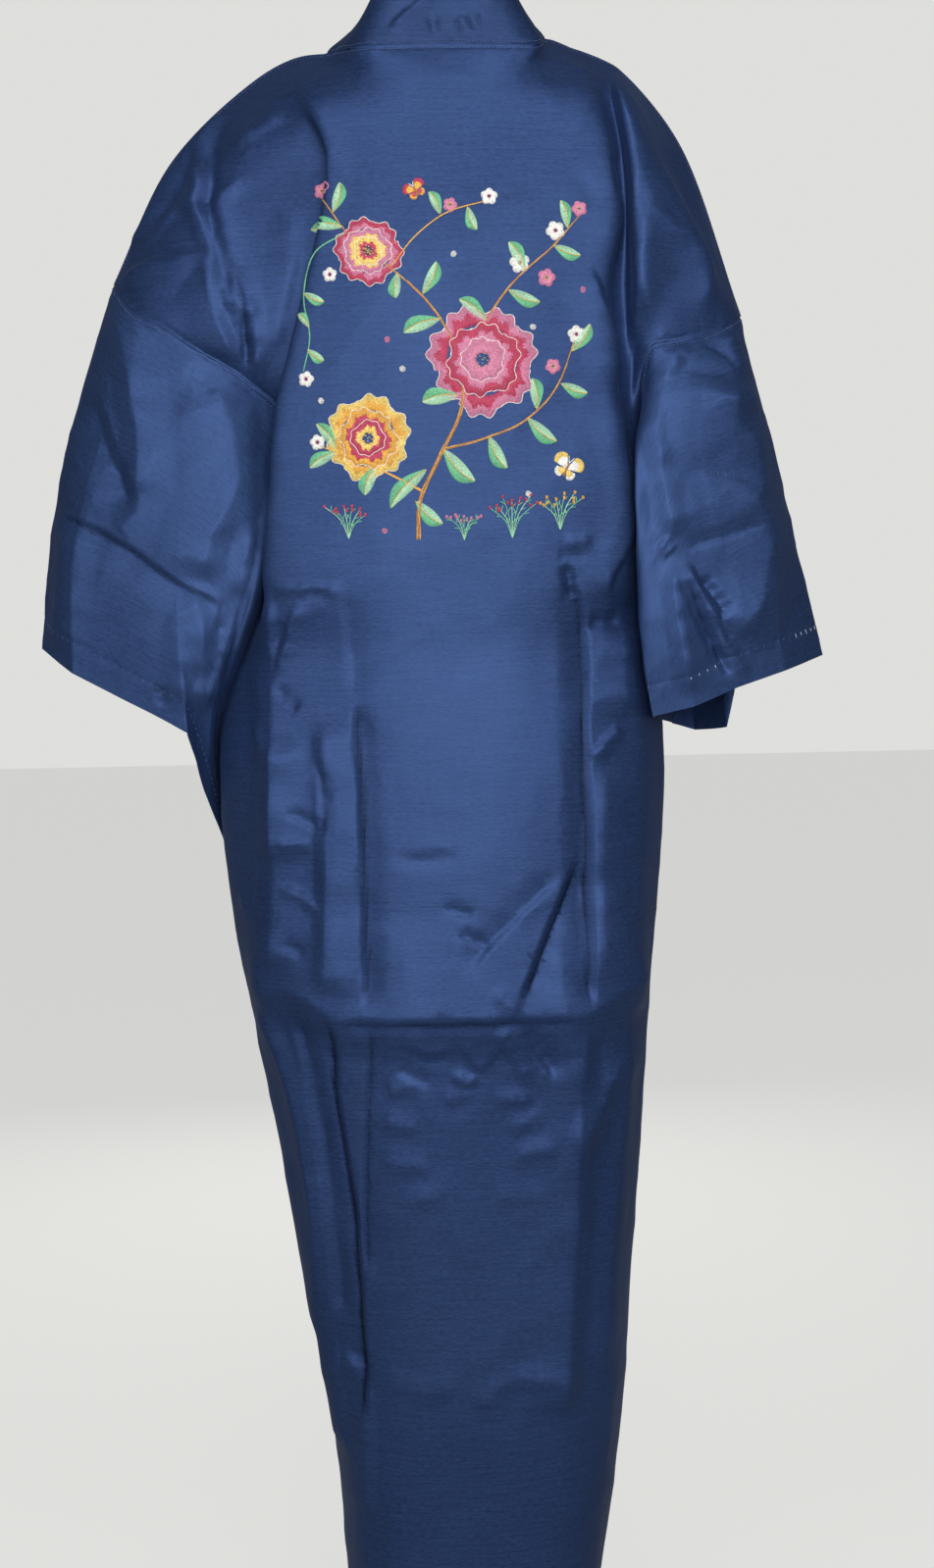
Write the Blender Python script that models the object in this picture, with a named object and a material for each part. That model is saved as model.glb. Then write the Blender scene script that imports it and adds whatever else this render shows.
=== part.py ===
"""A T-cut kimono robe as it hangs on a wearer, with nobody in it.

Six pieces of cloth: the back, two fronts that lap over, two wide sleeves and one doubled collar band. Each is
a thin wall with the same form inside and out, parted from its neighbours by a narrow gap along every seam.
The back faces +Y, the wearer's left is +X, and the origin is the middle of the neck opening at the height of
the back neck seam.
"""

import math

import bpy
import numpy as np

# Driving sizes, in metres
CLOTH = 0.0015          # wall of the back, fronts and sleeves
BAND = 0.0024           # wall of the collar band, which is cloth folded double
BAND_WIDTH = 0.058      # finished width of the collar band
SEAM_GAP = 0.0003       # between two pieces along a seam
HOLLOW_SEAM = 0.35      # cosine of the angle between two pieces past which their seam is a deep hollow
LAP_CLEARANCE = 0.0055  # the right front lies this far under the left one
LAP_SHARE = 0.45        # how far over the middle each front reaches, as a share of the half width
SQUARENESS = 2.5        # 2 is an ellipse; the body's sections are a little squarer
SLANT_LIMIT = 0.9       # the most that a grid line's slant to its seam is allowed for

# A direction no seam runs square to: it settles how the narrow edge faces are split
SPLIT_DIRECTION = np.array((1.0, 1.7, 2.3))

# The tables below are in millimetres
MM = 0.001

# Steps between one named column and the next, from the middle of the back out to the left and right edges
LEFT_STEPS = (4, 3, 4, 3, 4, 3)
RIGHT_STEPS = (4, 3, 4, 4, 3, 3)
ROW_STEPS = 2           # steps between one row of the tables and the next
SLEEVE_STEPS = (3, 4, 4, 4)
BAND_ACROSS = 3

# Shoulders to underarm. A row runs across the whole back: columns are the middle (its depth and height), then on
# each side the neck's back corner, the neck's side, the crest of the deep fold, the cloth tucked under it, the
# outer shoulder and the edge, which is the armhole seam. Each place is (x, depth towards the back, height).
MIDDLE_UPPER = (
    # depth, height
    (75, 0), (91, -46), (102, -98), (109, -150), (110, -205), (108, -262), (105, -320), (101, -385), (98, -450),
)
LEFT_UPPER = (
    # neck corner      neck side         crest             tucked under      outer shoulder     armhole seam
    ((66, 73, 0), (98, 22, 6), (126, 6, 6), (160, 3, -11), (234, 0, -78), (287, 0, -180)),
    ((48, 90, -46), (88, 82, -40), (110, 80, -44), (118, 74, -54), (216, 46, -116), (280, 24, -190)),
    ((42, 102, -97), (72, 101, -94), (95, 99, -92), (92, 82, -96), (205, 64, -156), (262, 50, -211)),
    ((44, 109, -149), (76, 107, -146), (100, 102, -142), (95, 84, -146), (190, 72, -190), (243, 60, -222)),
    ((50, 110, -203), (84, 107, -198), (113, 99, -190), (106, 80, -196), (172, 74, -226), (212, 66, -243)),
    ((56, 108, -259), (96, 104, -252), (128, 95, -242), (119, 74, -248), (148, 66, -260), (172, 60, -268)),
    ((62, 105, -317), (106, 101, -309), (143, 91, -298), (131, 72, -304), (129, 56, -304), (134, 44, -308)),
    ((66, 101, -382), (112, 98, -376), (151, 86, -368), (139, 67, -372), (140, 53, -376), (146, 40, -382)),
    ((68, 98, -449), (116, 95, -446), (157, 80, -440), (147, 62, -444), (153, 34, -448), (161, 0, -450)),
)
RIGHT_UPPER = (
    # neck corner      neck side         tucked under        crest             outer shoulder      armhole seam
    ((-80, 72, -1), (-91, 24, 14), (-118, 6, 8), (-154, 2, -8), (-204, 0, -70), (-256, 0, -218)),
    ((-50, 90, -46), (-96, 80, -42), (-128, 60, -40), (-148, 66, -43), (-194, 44, -106), (-250, 28, -222)),
    ((-50, 102, -97), (-100, 94, -95), (-146, 62, -92), (-157, 82, -92), (-204, 62, -142), (-238, 48, -230)),
    ((-52, 109, -149), (-108, 98, -148), (-151, 62, -146), (-159, 86, -146), (-204, 68, -182), (-219, 61, -239)),
    ((-54, 110, -203), (-112, 98, -202), (-154, 62, -200), (-160, 86, -200), (-180, 80, -212), (-196, 71, -245)),
    ((-58, 108, -259), (-108, 98, -258), (-142, 78, -256), (-158, 58, -254), (-164, 66, -252), (-172, 75, -251)),
    ((-60, 105, -317), (-108, 96, -316), (-132, 86, -315), (-148, 72, -313), (-157, 61, -309), (-165, 50, -304)),
    ((-62, 101, -382), (-110, 92, -381), (-134, 81, -380), (-150, 67, -379), (-159, 55, -377), (-167, 42, -375)),
    ((-64, 98, -449), (-112, 88, -449), (-138, 75, -449), (-154, 56, -449), (-163, 34, -450), (-170, 4, -450)),
)

# Underarm to hem, one row for each section of the body
BODY_SECTIONS = (
    # height, left half width, right half width, back depth, front depth, crease left, crease right, seam turn
    (-500, 188, 174, 97, 99, 152, 104, 2),
    (-560, 203, 181, 101, 101, 151, 110, 3),
    (-635, 206, 182, 108, 105, 152, 112, 4),
    (-715, 200, 176, 113, 107, 155, 111, 5),
    (-800, 187, 168, 112, 106, 158, 108, 6),
    (-900, 168, 160, 107, 103, 140, 103, 8),
    (-1040, 147, 149, 103, 100, 120, 98, 10),
    (-1200, 121, 136, 99, 97, 98, 90, 12),
    (-1375, 110, 109, 96, 94, 86, 78, 14),
)

# Front of the shoulders and chest, one row beside each row of the back but its first, which is the shoulder line
# itself. Columns run from the armhole to the front edge, and then to the free edge of the collar band.
LEFT_CHEST = (
    # armhole seam      outer shoulder        chest                side of neck          front edge          band's edge
    ((281, -22, -190), (232, -38, -110), (176, -52, -68), (130, -46, -36), (93, -26, -30), (58, -46, 6)),
    ((266, -46, -208), (222, -62, -152), (172, -78, -118), (124, -76, -94), (78, -62, -84), (34, -76, -56)),
    ((246, -60, -222), (212, -76, -190), (166, -92, -168), (114, -96, -152), (58, -91, -144), (8, -95, -118)),
    ((215, -72, -240), (192, -84, -228), (152, -101, -216), (100, -107, -208), (34, -107, -206), (-20, -108, -184)),
    ((187, -74, -268), (170, -86, -270), (136, -104, -266), (82, -111, -266), (12, -112, -268), (-43, -111, -250)),
    ((170, -66, -314), (158, -82, -322), (122, -102, -322), (66, -109, -324), (-10, -111, -328), (-65, -108, -312)),
    ((164, -46, -384), (158, -70, -384), (118, -96, -385), (54, -106, -388), (-32, -107, -392), (-87, -101, -380)),
    ((161, 0, -450), (160, -44, -450), (126, -84, -450), (46, -101, -452), (-52, -101, -455), (-106, -90, -447)),
)
RIGHT_CHEST = (
    ((-250, -24, -226), (-208, -38, -116), (-164, -50, -76), (-124, -44, -38), (-90, -24, -24), (-60, -44, 12)),
    ((-240, -46, -236), (-204, -60, -160), (-162, -74, -126), (-118, -72, -96), (-77, -58, -82), (-34, -70, -56)),
    ((-222, -60, -246), (-198, -72, -200), (-156, -88, -174), (-108, -91, -154), (-58, -86, -144), (-8, -88, -119)),
    ((-200, -70, -256), (-186, -80, -238), (-144, -95, -222), (-94, -100, -210), (-34, -101, -206), (20, -101, -186)),
    ((-184, -72, -280), (-170, -80, -278), (-130, -96, -268), (-76, -102, -267), (-12, -104, -268), (43, -103, -251)),
    ((-177, -62, -320), (-164, -76, -322), (-120, -93, -323), (-60, -100, -325), (10, -103, -328), (65, -101, -312)),
    ((-174, -42, -384), (-164, -62, -384), (-120, -87, -386), (-50, -98, -389), (32, -99, -392), (87, -94, -381)),
    ((-170, 4, -450), (-166, -40, -450), (-126, -76, -450), (-44, -94, -452), (52, -94, -455), (106, -83, -447)),
)

# The collar band's free edge round the back of the neck, the wearer's right to left
BAND_NECK_EDGE = ((-62, 10, 50), (-57, 58, 52), (0, 67, 58), (48, 61, 54), (54, 10, 45))

# Sleeves: a ring of nine places round each section below the seam
SLEEVE_RING_STEPS = (4, 4, 4, 2, 2, 4, 4, 4, 4)
SLEEVE_FLATNESS = (0.0, 0.15, 0.45, 0.85)  # each ring's, from round at the seam to straight folds at the cuff
LEFT_SLEEVE = (
    # outer edge        back, high        back, middle        back, low        inner fold        low corner
    # front, low        front, middle     front, high
    ((298, 0, -215), (271, 52, -246), (216, 70, -284), (157, 58, -348), (156, 54, -436), (182, -14, -458),
     (180, -70, -352), (212, -82, -276), (272, -54, -245)),
    ((322, 0, -286), (280, 52, -312), (224, 72, -352), (170, 66, -424), (181, 58, -486), (206, -42, -523),
     (196, -84, -455), (214, -92, -386), (280, -62, -318)),
    ((347, 2, -388), (298, 56, -420), (232, 72, -462), (203, 58, -520), (213, 24, -566), (211, -46, -624),
     (212, -88, -545), (238, -100, -478), (308, -66, -415)),
    ((360, 6, -494), (298, 52, -528), (228, 64, -567), (221, 20, -622), (214, -16, -668), (207, -52, -718),
     (213, -94, -594), (258, -100, -546), (325, -60, -506)),
)
RIGHT_SLEEVE = (
    ((-261, 0, -252), (-247, 56, -262), (-202, 80, -276), (-161, 84, -318), (-164, 80, -388), (-192, -12, -456),
     (-186, -70, -366), (-208, -80, -290), (-250, -54, -262)),
    ((-279, 0, -318), (-258, 52, -330), (-214, 80, -344), (-178, 88, -380), (-166, 81, -446), (-199, -52, -505),
     (-196, -92, -455), (-212, -94, -392), (-258, -60, -346)),
    ((-301, 2, -416), (-268, 52, -430), (-224, 74, -448), (-193, 84, -476), (-168, 79, -510), (-207, -86, -548),
     (-214, -108, -520), (-242, -98, -484), (-270, -80, -438)),
    ((-324, 4, -514), (-286, 48, -525), (-242, 64, -538), (-204, 74, -553), (-178, 72, -561), (-202, -104, -577),
     (-223, -112, -585), (-249, -80, -581), (-262, -88, -527)),
)

# Long creases that stand out of the cloth: (x, height) along each one as seen from behind, its width either
# side and its depth, which is negative for a trough
BACK_CREASES = (
    # path, width on its left, width on its right, depth
    (((182, -779), (131, -787), (103, -809), (0, -815), (-109, -806), (-155, -778)), 18, 30, 4.0),
    (((108, -594), (110, -700), (113, -800)), 9, 16, 2.2),
    (((81, -447), (76, -578), (75, -806)), 8, 14, -2.4),
    (((-94, -443), (-110, -533), (-111, -698), (-107, -807)), 14, 9, 2.6),
    (((-109, -673), (-85, -747), (-53, -801)), 9, 9, -2.4),
    (((101, -820), (90, -1120), (73, -1295)), 10, 16, 2.2),
    (((-109, -817), (-91, -1124), (-80, -1298)), 14, 10, 2.2),
    (((204, -70), (206, -112), (196, -158), (192, -205)), 8, 12, -5.0),
    (((172, -98), (188, -130), (180, -170), (168, -222)), 10, 8, 4.0),
)
LEFT_SLEEVE_CREASES = (
    (((284, -212), (266, -300), (262, -380)), 12, 16, 4.0),
    (((291, -310), (266, -385)), 9, 9, -3.0),
    (((345, -385), (300, -410), (255, -440), (206, -460), (196, -470)), 12, 12, 3.2),
)
RIGHT_SLEEVE_CREASES = (
    (((-160, -240), (-185, -252), (-250, -272)), 8, 10, -3.0),
    (((-196, -415), (-222, -470), (-262, -534)), 8, 10, -4.0),
    (((-190, -420), (-205, -480), (-225, -540)), 9, 9, 3.0),
)

MATERIALS = {
    # colour, roughness
    "navy_back": ((0.022, 0.052, 0.170, 1.0), 0.42),
    "navy_front_left": ((0.020, 0.047, 0.155, 1.0), 0.42),
    "navy_front_right": ((0.020, 0.047, 0.155, 1.0), 0.42),
    "navy_sleeve_left": ((0.024, 0.056, 0.180, 1.0), 0.40),
    "navy_sleeve_right": ((0.024, 0.056, 0.180, 1.0), 0.40),
    "navy_collar": ((0.018, 0.043, 0.145, 1.0), 0.45),
}


def clear_scene():
    for obj in list(bpy.data.objects):
        bpy.data.objects.remove(obj, do_unlink=True)


def material(name):
    """The named material, made once."""
    found = bpy.data.materials.get(name)
    if found:
        return found
    colour, roughness = MATERIALS[name]
    made = bpy.data.materials.new(name)
    made.use_nodes = True
    surface = made.node_tree.nodes["Principled BSDF"]
    surface.inputs["Base Color"].default_value = colour
    surface.inputs["Roughness"].default_value = roughness
    surface.inputs["Metallic"].default_value = 0.0
    made.diffuse_color = colour
    return made


def curve_through(points, steps, closed=False):
    """Centripetal smooth curve through points, shape (knots, ..., 3), with steps[i] samples in interval i."""
    points = np.asarray(points, float)
    count = len(points)
    if closed:
        points = np.concatenate([points[-1:], points, points[:2]])
    else:
        points = np.concatenate([2 * points[:1] - points[1:2], points, 2 * points[-1:] - points[-2:-1]])
    samples = []
    for i in range(count if closed else count - 1):
        before, start, end, after = points[i : i + 4]
        knots = [np.zeros(start.shape[:-1] + (1,))]
        for here, there in ((before, start), (start, end), (end, after)):
            span = np.linalg.norm(there - here, axis=-1, keepdims=True)
            knots.append(knots[-1] + np.sqrt(np.maximum(span, 1e-9)))
        t0, t1, t2, t3 = knots
        slope_start = (start - before) / (t1 - t0) - (end - before) / (t2 - t0) + (end - start) / (t2 - t1)
        slope_end = (end - start) / (t2 - t1) - (after - start) / (t3 - t1) + (after - end) / (t3 - t2)
        for step in range(steps[i]):
            f = step / steps[i]
            samples.append(
                (2 * f**3 - 3 * f**2 + 1) * start
                + (f**3 - 2 * f**2 + f) * slope_start * (t2 - t1)
                + (3 * f**2 - 2 * f**3) * end
                + (f**3 - f**2) * slope_end * (t2 - t1)
            )
    if not closed:
        samples.append(points[-2])
    return np.array(samples)


def straight_through(points, steps):
    """The same samples as the closed smooth curve, along straight lines."""
    points = np.asarray(points, float)
    samples = []
    for start, end, count in zip(points, np.roll(points, -1, axis=0), steps):
        samples += [start + (end - start) * step / count for step in range(count)]
    return np.array(samples)


def section_point(section, angle):
    """A place on a body section; the angle runs from the middle of the back, past the left side, to the front."""
    height, left, right, back, front = section[:5]
    sine = math.sin(math.radians(angle))
    cosine = math.cos(math.radians(angle))
    power = 2.0 / SQUARENESS
    width = left if sine > 0 else right
    depth = back if cosine > 0 else front
    across = math.copysign(abs(sine) ** power, sine) * width
    along = math.copysign(abs(cosine) ** power, cosine) * depth
    return (across, along, height)


def section_angle(section, x):
    """The angle, from the middle of the back, at which the section is x wide."""
    width = section[1] if x > 0 else section[2]
    share = min(abs(x) / width, 0.999)
    return math.copysign(math.degrees(math.asin(share ** (SQUARENESS / 2.0))), x)


def back_control_rows():
    """The back's named places, row by row: right edge to left edge."""
    rows = []
    for (depth, height), left, right in zip(MIDDLE_UPPER, LEFT_UPPER, RIGHT_UPPER):
        rows.append(tuple(reversed(right)) + ((0, depth, height),) + left)
    for section in BODY_SECTIONS:
        crease_left, crease_right, turn = section[5:8]
        left_angles = [section_angle(section, crease_left * share) for share in (0.42, 0.75, 1.0, 1.09)]
        left_angles += [(left_angles[-1] + 90) / 2 + 8, 90 + turn]
        right_angles = [section_angle(section, -crease_right * share) for share in (0.55, 1.0)]
        right_angles += [right_angles[-1] - 14, right_angles[-1] - 24, -84, -90 - turn]
        angles = list(reversed(right_angles)) + [0] + left_angles
        rows.append(tuple(section_point(section, angle) for angle in angles))
    return np.array(rows, float)


def angle_after(section, angle, distance):
    """The angle further round a section, away from the middle of the back, that is this far from the first."""
    start = np.array(section_point(section, angle))
    step = math.copysign(0.5, angle)
    while np.linalg.norm(np.array(section_point(section, angle)) - start) < distance:
        angle += step
    return angle


def front_control_rows(chest, shoulder_row, band_edge, side):
    """A front's named places: armhole or side seam first, front edge, then the band's edge. side is 1 on the left."""
    rows = [tuple(shoulder_row) + (band_edge,)]
    rows.extend(chest)
    under = 0 if side > 0 else LAP_CLEARANCE / MM
    for section in BODY_SECTIONS:
        height, left, right, back, front, _, _, turn = section
        inner = (height, left - under, right - under, back, front - under)
        lap = LAP_SHARE * (right if side > 0 else left)
        front_angle = 180 + abs(section_angle(inner, -side * lap))
        start = 90 + turn
        angles = [start + (front_angle - start) * share for share in (0.2, 0.45, 0.72, 1.0)]
        angles.append(angle_after(inner, angles[-1], BAND_WIDTH / MM))
        rows.append((section_point(section, side * start),) + tuple(section_point(inner, side * a) for a in angles))
    return np.array(rows, float)


def grid_through(control, column_steps):
    """Every row and column of a panel from its named places."""
    row_steps = [ROW_STEPS] * (len(control) - 1)
    rows = curve_through(control, row_steps)
    return np.transpose(curve_through(np.transpose(rows, (1, 0, 2)), column_steps), (1, 0, 2))


def path_distance(points, path):
    """For each (x, height): signed distance to the path, and how far along it lies, from 0 to 1."""
    path = np.array(path, float)
    legs = np.linalg.norm(np.diff(path, axis=0), axis=1)
    nearest = np.full(len(points), 1e9)
    signed = np.zeros(len(points))
    along = np.zeros(len(points))
    start_length = 0.0
    for start, end, leg in zip(path[:-1], path[1:], legs):
        direction = (end - start) / leg
        offset = points - start
        run = np.clip(offset @ direction, 0, leg)
        gap = offset - run[:, None] * direction
        distance = np.linalg.norm(gap, axis=1)
        side = np.sign(direction[0] * offset[:, 1] - direction[1] * offset[:, 0])
        closer = distance < nearest
        nearest[closer] = distance[closer]
        signed[closer] = (distance * np.where(side == 0, 1, side))[closer]
        along[closer] = ((start_length + run) / legs.sum())[closer]
        start_length += leg
    return signed, along


def crease(grid, creases, normals, facing=None):
    """Moves the cloth out along its normals where a crease passes, fading to nothing at the crease's ends."""
    flat = grid.reshape(-1, 3)
    lift = np.zeros(len(flat))
    for path, width_left, width_right, depth in creases:
        signed, along = path_distance(flat[:, [0, 2]], path)
        width = np.where(signed > 0, width_left, width_right)
        fade = np.clip(np.minimum(along, 1 - along) / 0.15, 0, 1)
        lift += depth * np.exp(-((signed / width) ** 2)) * fade * fade * (3 - 2 * fade)
    if facing is not None:
        lift = lift * facing.reshape(-1)
    return (flat + normals.reshape(-1, 3) * lift[:, None]).reshape(grid.shape)


def grid_normals(grid, closed=False):
    """Outward normals of a grid whose rows run down and whose columns run from the wearer's right to left."""
    across = np.gradient(grid, axis=1)
    if closed:
        across = (np.roll(grid, -1, axis=1) - np.roll(grid, 1, axis=1)) / 2
    down = np.gradient(grid, axis=0)
    normal = np.cross(across, down)
    return normal / np.maximum(np.linalg.norm(normal, axis=2, keepdims=True), 1e-9)


def unit(vectors):
    return vectors / np.maximum(np.linalg.norm(vectors, axis=-1, keepdims=True), 1e-9)


def pull_in(grid, axis, index, inner):
    """Draws one edge of a grid back from its seam by half the gap, measured square to the seam."""
    edge = [slice(None)] * 3
    near = [slice(None)] * 3
    edge[axis] = index
    near[axis] = inner
    line = grid[tuple(edge)]
    away = unit(grid[tuple(near)] - line)
    along = unit(np.gradient(line, axis=0))
    slant = np.sqrt(1 - np.clip(np.sum(away * along, axis=1), -SLANT_LIMIT, SLANT_LIMIT) ** 2)
    grid[tuple(edge)] += away * (SEAM_GAP / MM * 0.55 / slant)[:, None]


def wall(name, outer, inner, material_name, closed=False):
    """One closed body between an outer and an inner grid of points in millimetres."""
    rows, columns = outer.shape[:2]
    count = rows * columns
    points = np.concatenate([outer.reshape(-1, 3), inner.reshape(-1, 3)]) * MM
    faces = []

    def quad(a, b, c, d):
        faces.append((a, b, c))
        faces.append((a, c, d))

    def edge_quad(a, b):
        """The edge between two outer points, split the same way on both of the pieces along a seam."""
        if points[a] @ SPLIT_DIRECTION > points[b] @ SPLIT_DIRECTION:
            quad(a, b, count + b, count + a)
        else:
            quad(b, count + b, count + a, a)

    for row in range(rows - 1):
        for column in range(columns if closed else columns - 1):
            after = (column + 1) % columns
            a = row * columns + column
            b = row * columns + after
            c = (row + 1) * columns + after
            d = (row + 1) * columns + column
            quad(a, b, c, d)
            quad(count + a, count + d, count + c, count + b)
    for column in range(columns if closed else columns - 1):
        after = (column + 1) % columns
        last = (rows - 1) * columns
        edge_quad(after, column)
        edge_quad(last + column, last + after)
    if not closed:
        for row in range(rows - 1):
            first = row * columns
            last = first + columns - 1
            edge_quad(first, first + columns)
            edge_quad(last + columns, last)
    mesh = bpy.data.meshes.new(name)
    mesh.from_pydata([tuple(point) for point in points], [], faces)
    mesh.update()
    mesh.shade_smooth()
    mesh.set_sharp_from_angle(angle=math.radians(50))
    mesh.materials.append(material(material_name))
    obj = bpy.data.objects.new(name, mesh)
    bpy.context.scene.collection.objects.link(obj)
    return obj


def sleeve_grid(back_edge, front_edge, sections):
    """Rings from the armhole seam to the cuff, each from the outer edge by the back to the low corner and home."""
    rings = [np.concatenate([back_edge, front_edge[-2:0:-1]])]
    for section, flatness in zip(sections, SLEEVE_FLATNESS):
        smooth = curve_through(section, SLEEVE_RING_STEPS, closed=True)
        straight = straight_through(section, SLEEVE_RING_STEPS)
        rings.append(smooth * (1 - flatness) + straight * flatness)
    return curve_through(rings, SLEEVE_STEPS)


def share_normals(*edges, least=-1.0):
    """Gives the points where pieces meet one common direction, so that their walls meet edge to edge.

    Where they agree less than the least cosine they meet in a hollow, and each keeps its own direction.
    """
    for first in edges:
        for second in edges:
            if first @ second < least:
                return
    total = unit(sum(edges))
    for edge in edges:
        edge[...] = total


def build():
    """Every piece's outer grid and the directions in which its wall is thick."""
    control = back_control_rows()
    back = grid_through(control, tuple(reversed(RIGHT_STEPS)) + LEFT_STEPS)
    middle = sum(RIGHT_STEPS)
    neck_left = middle + LEFT_STEPS[0] + LEFT_STEPS[1]
    neck_right = middle - RIGHT_STEPS[0] - RIGHT_STEPS[1]
    underarm = ROW_STEPS * (len(MIDDLE_UPPER) - 1)

    left = front_control_rows(LEFT_CHEST, control[0, :7:-1], BAND_NECK_EDGE[-1], 1)
    right = front_control_rows(RIGHT_CHEST, control[0, :5], BAND_NECK_EDGE[0], -1)
    left = grid_through(left, LEFT_STEPS[:1:-1] + (BAND_ACROSS,))
    right = grid_through(right, RIGHT_STEPS[:1:-1] + (BAND_ACROSS,))
    left_edge = left.shape[1] - 1 - BAND_ACROSS
    right_edge = right.shape[1] - 1 - BAND_ACROSS
    left[0, : left_edge + 1] = back[0, : neck_left - 1 : -1]
    right[0, : right_edge + 1] = back[0, : neck_right + 1]
    left[underarm:, 0] = back[underarm:, -1]
    right[underarm:, 0] = back[underarm:, 0]

    neck_edge = curve_through(BAND_NECK_EDGE, (RIGHT_STEPS[1], RIGHT_STEPS[0], LEFT_STEPS[0], LEFT_STEPS[1]))
    share = np.linspace(0, 1, BAND_ACROSS + 1)[:, None, None]
    neck_band = neck_edge * (1 - share) + back[0, neck_right : neck_left + 1] * share
    right_band = np.transpose(right[::-1, right_edge:][:, ::-1], (1, 0, 2))
    left_band = np.transpose(left[:, left_edge:][:, ::-1], (1, 0, 2))
    band = np.concatenate([right_band[:, :-1], neck_band, left_band[:, 1:]], axis=1)
    left = left[:, : left_edge + 1]
    right = right[:, right_edge::-1]

    left_sleeve = sleeve_grid(back[: underarm + 1, -1], left[: underarm + 1, 0], LEFT_SLEEVE)[:, ::-1]
    right_sleeve = sleeve_grid(back[: underarm + 1, 0], right[: underarm + 1, -1], RIGHT_SLEEVE)

    grids = {
        "back_panel": back,
        "front_left": left,
        "front_right": right,
        "sleeve_left": left_sleeve,
        "sleeve_right": right_sleeve,
        "collar_band": band,
    }
    return grids, underarm, neck_left, neck_right


def main():
    clear_scene()
    grids, underarm, neck_left, neck_right = build()
    closed = {"sleeve_left", "sleeve_right"}
    creases = {
        "back_panel": BACK_CREASES,
        "sleeve_left": LEFT_SLEEVE_CREASES,
        "sleeve_right": RIGHT_SLEEVE_CREASES,
    }
    for name, folds in creases.items():
        normals = grid_normals(grids[name], name in closed)
        facing = np.clip(normals[:, :, 1] * 2.0, 0, 1)
        facing[0] = 0
        if name not in closed:
            facing[:, 0] = 0
            facing[:, -1] = 0
        grids[name] = crease(grids[name], folds, normals, facing)

    normals = {name: grid_normals(grid, name in closed) for name, grid in grids.items()}
    back, left, right = normals["back_panel"], normals["front_left"], normals["front_right"]
    left_sleeve, right_sleeve = normals["sleeve_left"][:, ::-1], normals["sleeve_right"]
    band = normals["collar_band"]
    rows = back.shape[0]
    for row in range(rows):
        left_piece = [back[row, -1]]
        right_piece = [back[row, 0]]
        if row < underarm:
            left_piece.append(left_sleeve[0, row])
            right_piece.append(right_sleeve[0, row])
        if row == 0 or row >= underarm:
            left_piece.append(left[row, 0])
            right_piece.append(right[row, -1])
        share_normals(*left_piece, least=HOLLOW_SEAM if row else -1.0)
        share_normals(*right_piece, least=HOLLOW_SEAM if row else -1.0)
        if 0 < row < underarm:
            share_normals(left[row, 0], left_sleeve[0, -row], least=HOLLOW_SEAM)
            share_normals(right[row, -1], right_sleeve[0, -row], least=HOLLOW_SEAM)
    for step in range(1, back.shape[1] - 1 - neck_left + 1):
        share_normals(back[0, -1 - step], left[0, step])
    for step in range(1, neck_right + 1):
        share_normals(back[0, step], right[0, -1 - step])
    along = band.shape[1] - 1
    for row in range(rows):
        share_normals(right[row, 0], band[-1, rows - 1 - row])
        share_normals(left[row, -1], band[-1, along - (rows - 1 - row)])
    for column in range(neck_right, neck_left + 1):
        share_normals(back[0, column], band[-1, rows - 1 + column - neck_right])
    share_normals(back[0, neck_left], left[0, -1], band[-1, along - (rows - 1)])
    share_normals(back[0, neck_right], right[0, 0], band[-1, rows - 1])

    walls = {
        "back_panel": (CLOTH, "navy_back", ((0, 0, 1), (1, 0, 1), (1, -1, -2))),
        "front_left": (CLOTH, "navy_front_left", ((0, 0, 1), (1, 0, 1), (1, -1, -2))),
        "front_right": (CLOTH, "navy_front_right", ((0, 0, 1), (1, 0, 1), (1, -1, -2))),
        "sleeve_left": (CLOTH, "navy_sleeve_left", ((0, 0, 1),)),
        "sleeve_right": (CLOTH, "navy_sleeve_right", ((0, 0, 1),)),
        "collar_band": (BAND, "navy_collar", ((0, -1, -2),)),
    }
    for name, (thickness, material_name, seams) in walls.items():
        outer = grids[name].copy()
        for axis, index, inner in seams:
            pull_in(outer, axis, index, inner)
        depth = np.full(outer.shape[:2] + (1,), thickness / MM)
        if name == "collar_band":
            depth[-1] = CLOTH / MM
        wall(name, outer, outer - normals[name] * depth, material_name, name in closed)


main()
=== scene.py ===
"""Looks for the navy kimono robe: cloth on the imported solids, its creases, seams, embroidery and one camera.

The back faces +Y, the wearer's left is +X and heights run down from the neck seam. The cloth's tables are in
millimetres and repeat the solids' own, with more steps between the named places. The rest is in metres.
"""

import math
import random

import bpy
import numpy as np
from mathutils import Matrix, Vector, noise
from mathutils.bvhtree import BVHTree


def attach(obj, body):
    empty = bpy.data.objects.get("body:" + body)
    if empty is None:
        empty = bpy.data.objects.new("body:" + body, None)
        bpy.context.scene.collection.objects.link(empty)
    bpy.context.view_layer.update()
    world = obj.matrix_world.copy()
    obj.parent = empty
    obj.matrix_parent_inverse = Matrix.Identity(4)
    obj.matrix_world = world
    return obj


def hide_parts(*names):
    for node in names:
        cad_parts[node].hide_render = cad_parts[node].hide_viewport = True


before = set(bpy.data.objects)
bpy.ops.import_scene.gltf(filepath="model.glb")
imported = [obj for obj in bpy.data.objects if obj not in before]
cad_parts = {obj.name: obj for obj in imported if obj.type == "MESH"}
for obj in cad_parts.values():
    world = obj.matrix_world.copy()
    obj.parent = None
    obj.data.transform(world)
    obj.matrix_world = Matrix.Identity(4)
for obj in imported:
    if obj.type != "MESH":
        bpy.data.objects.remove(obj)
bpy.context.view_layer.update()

# The photograph's camera: its place in metres, its tilt and roll in degrees, and its focal length
PHOTO_HEIGHT = 1599
FOCAL_PIXELS = 2340
SENSOR = 36.0
CAMERA_PLACE = (-0.0099, 2.020, -0.4448)
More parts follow.
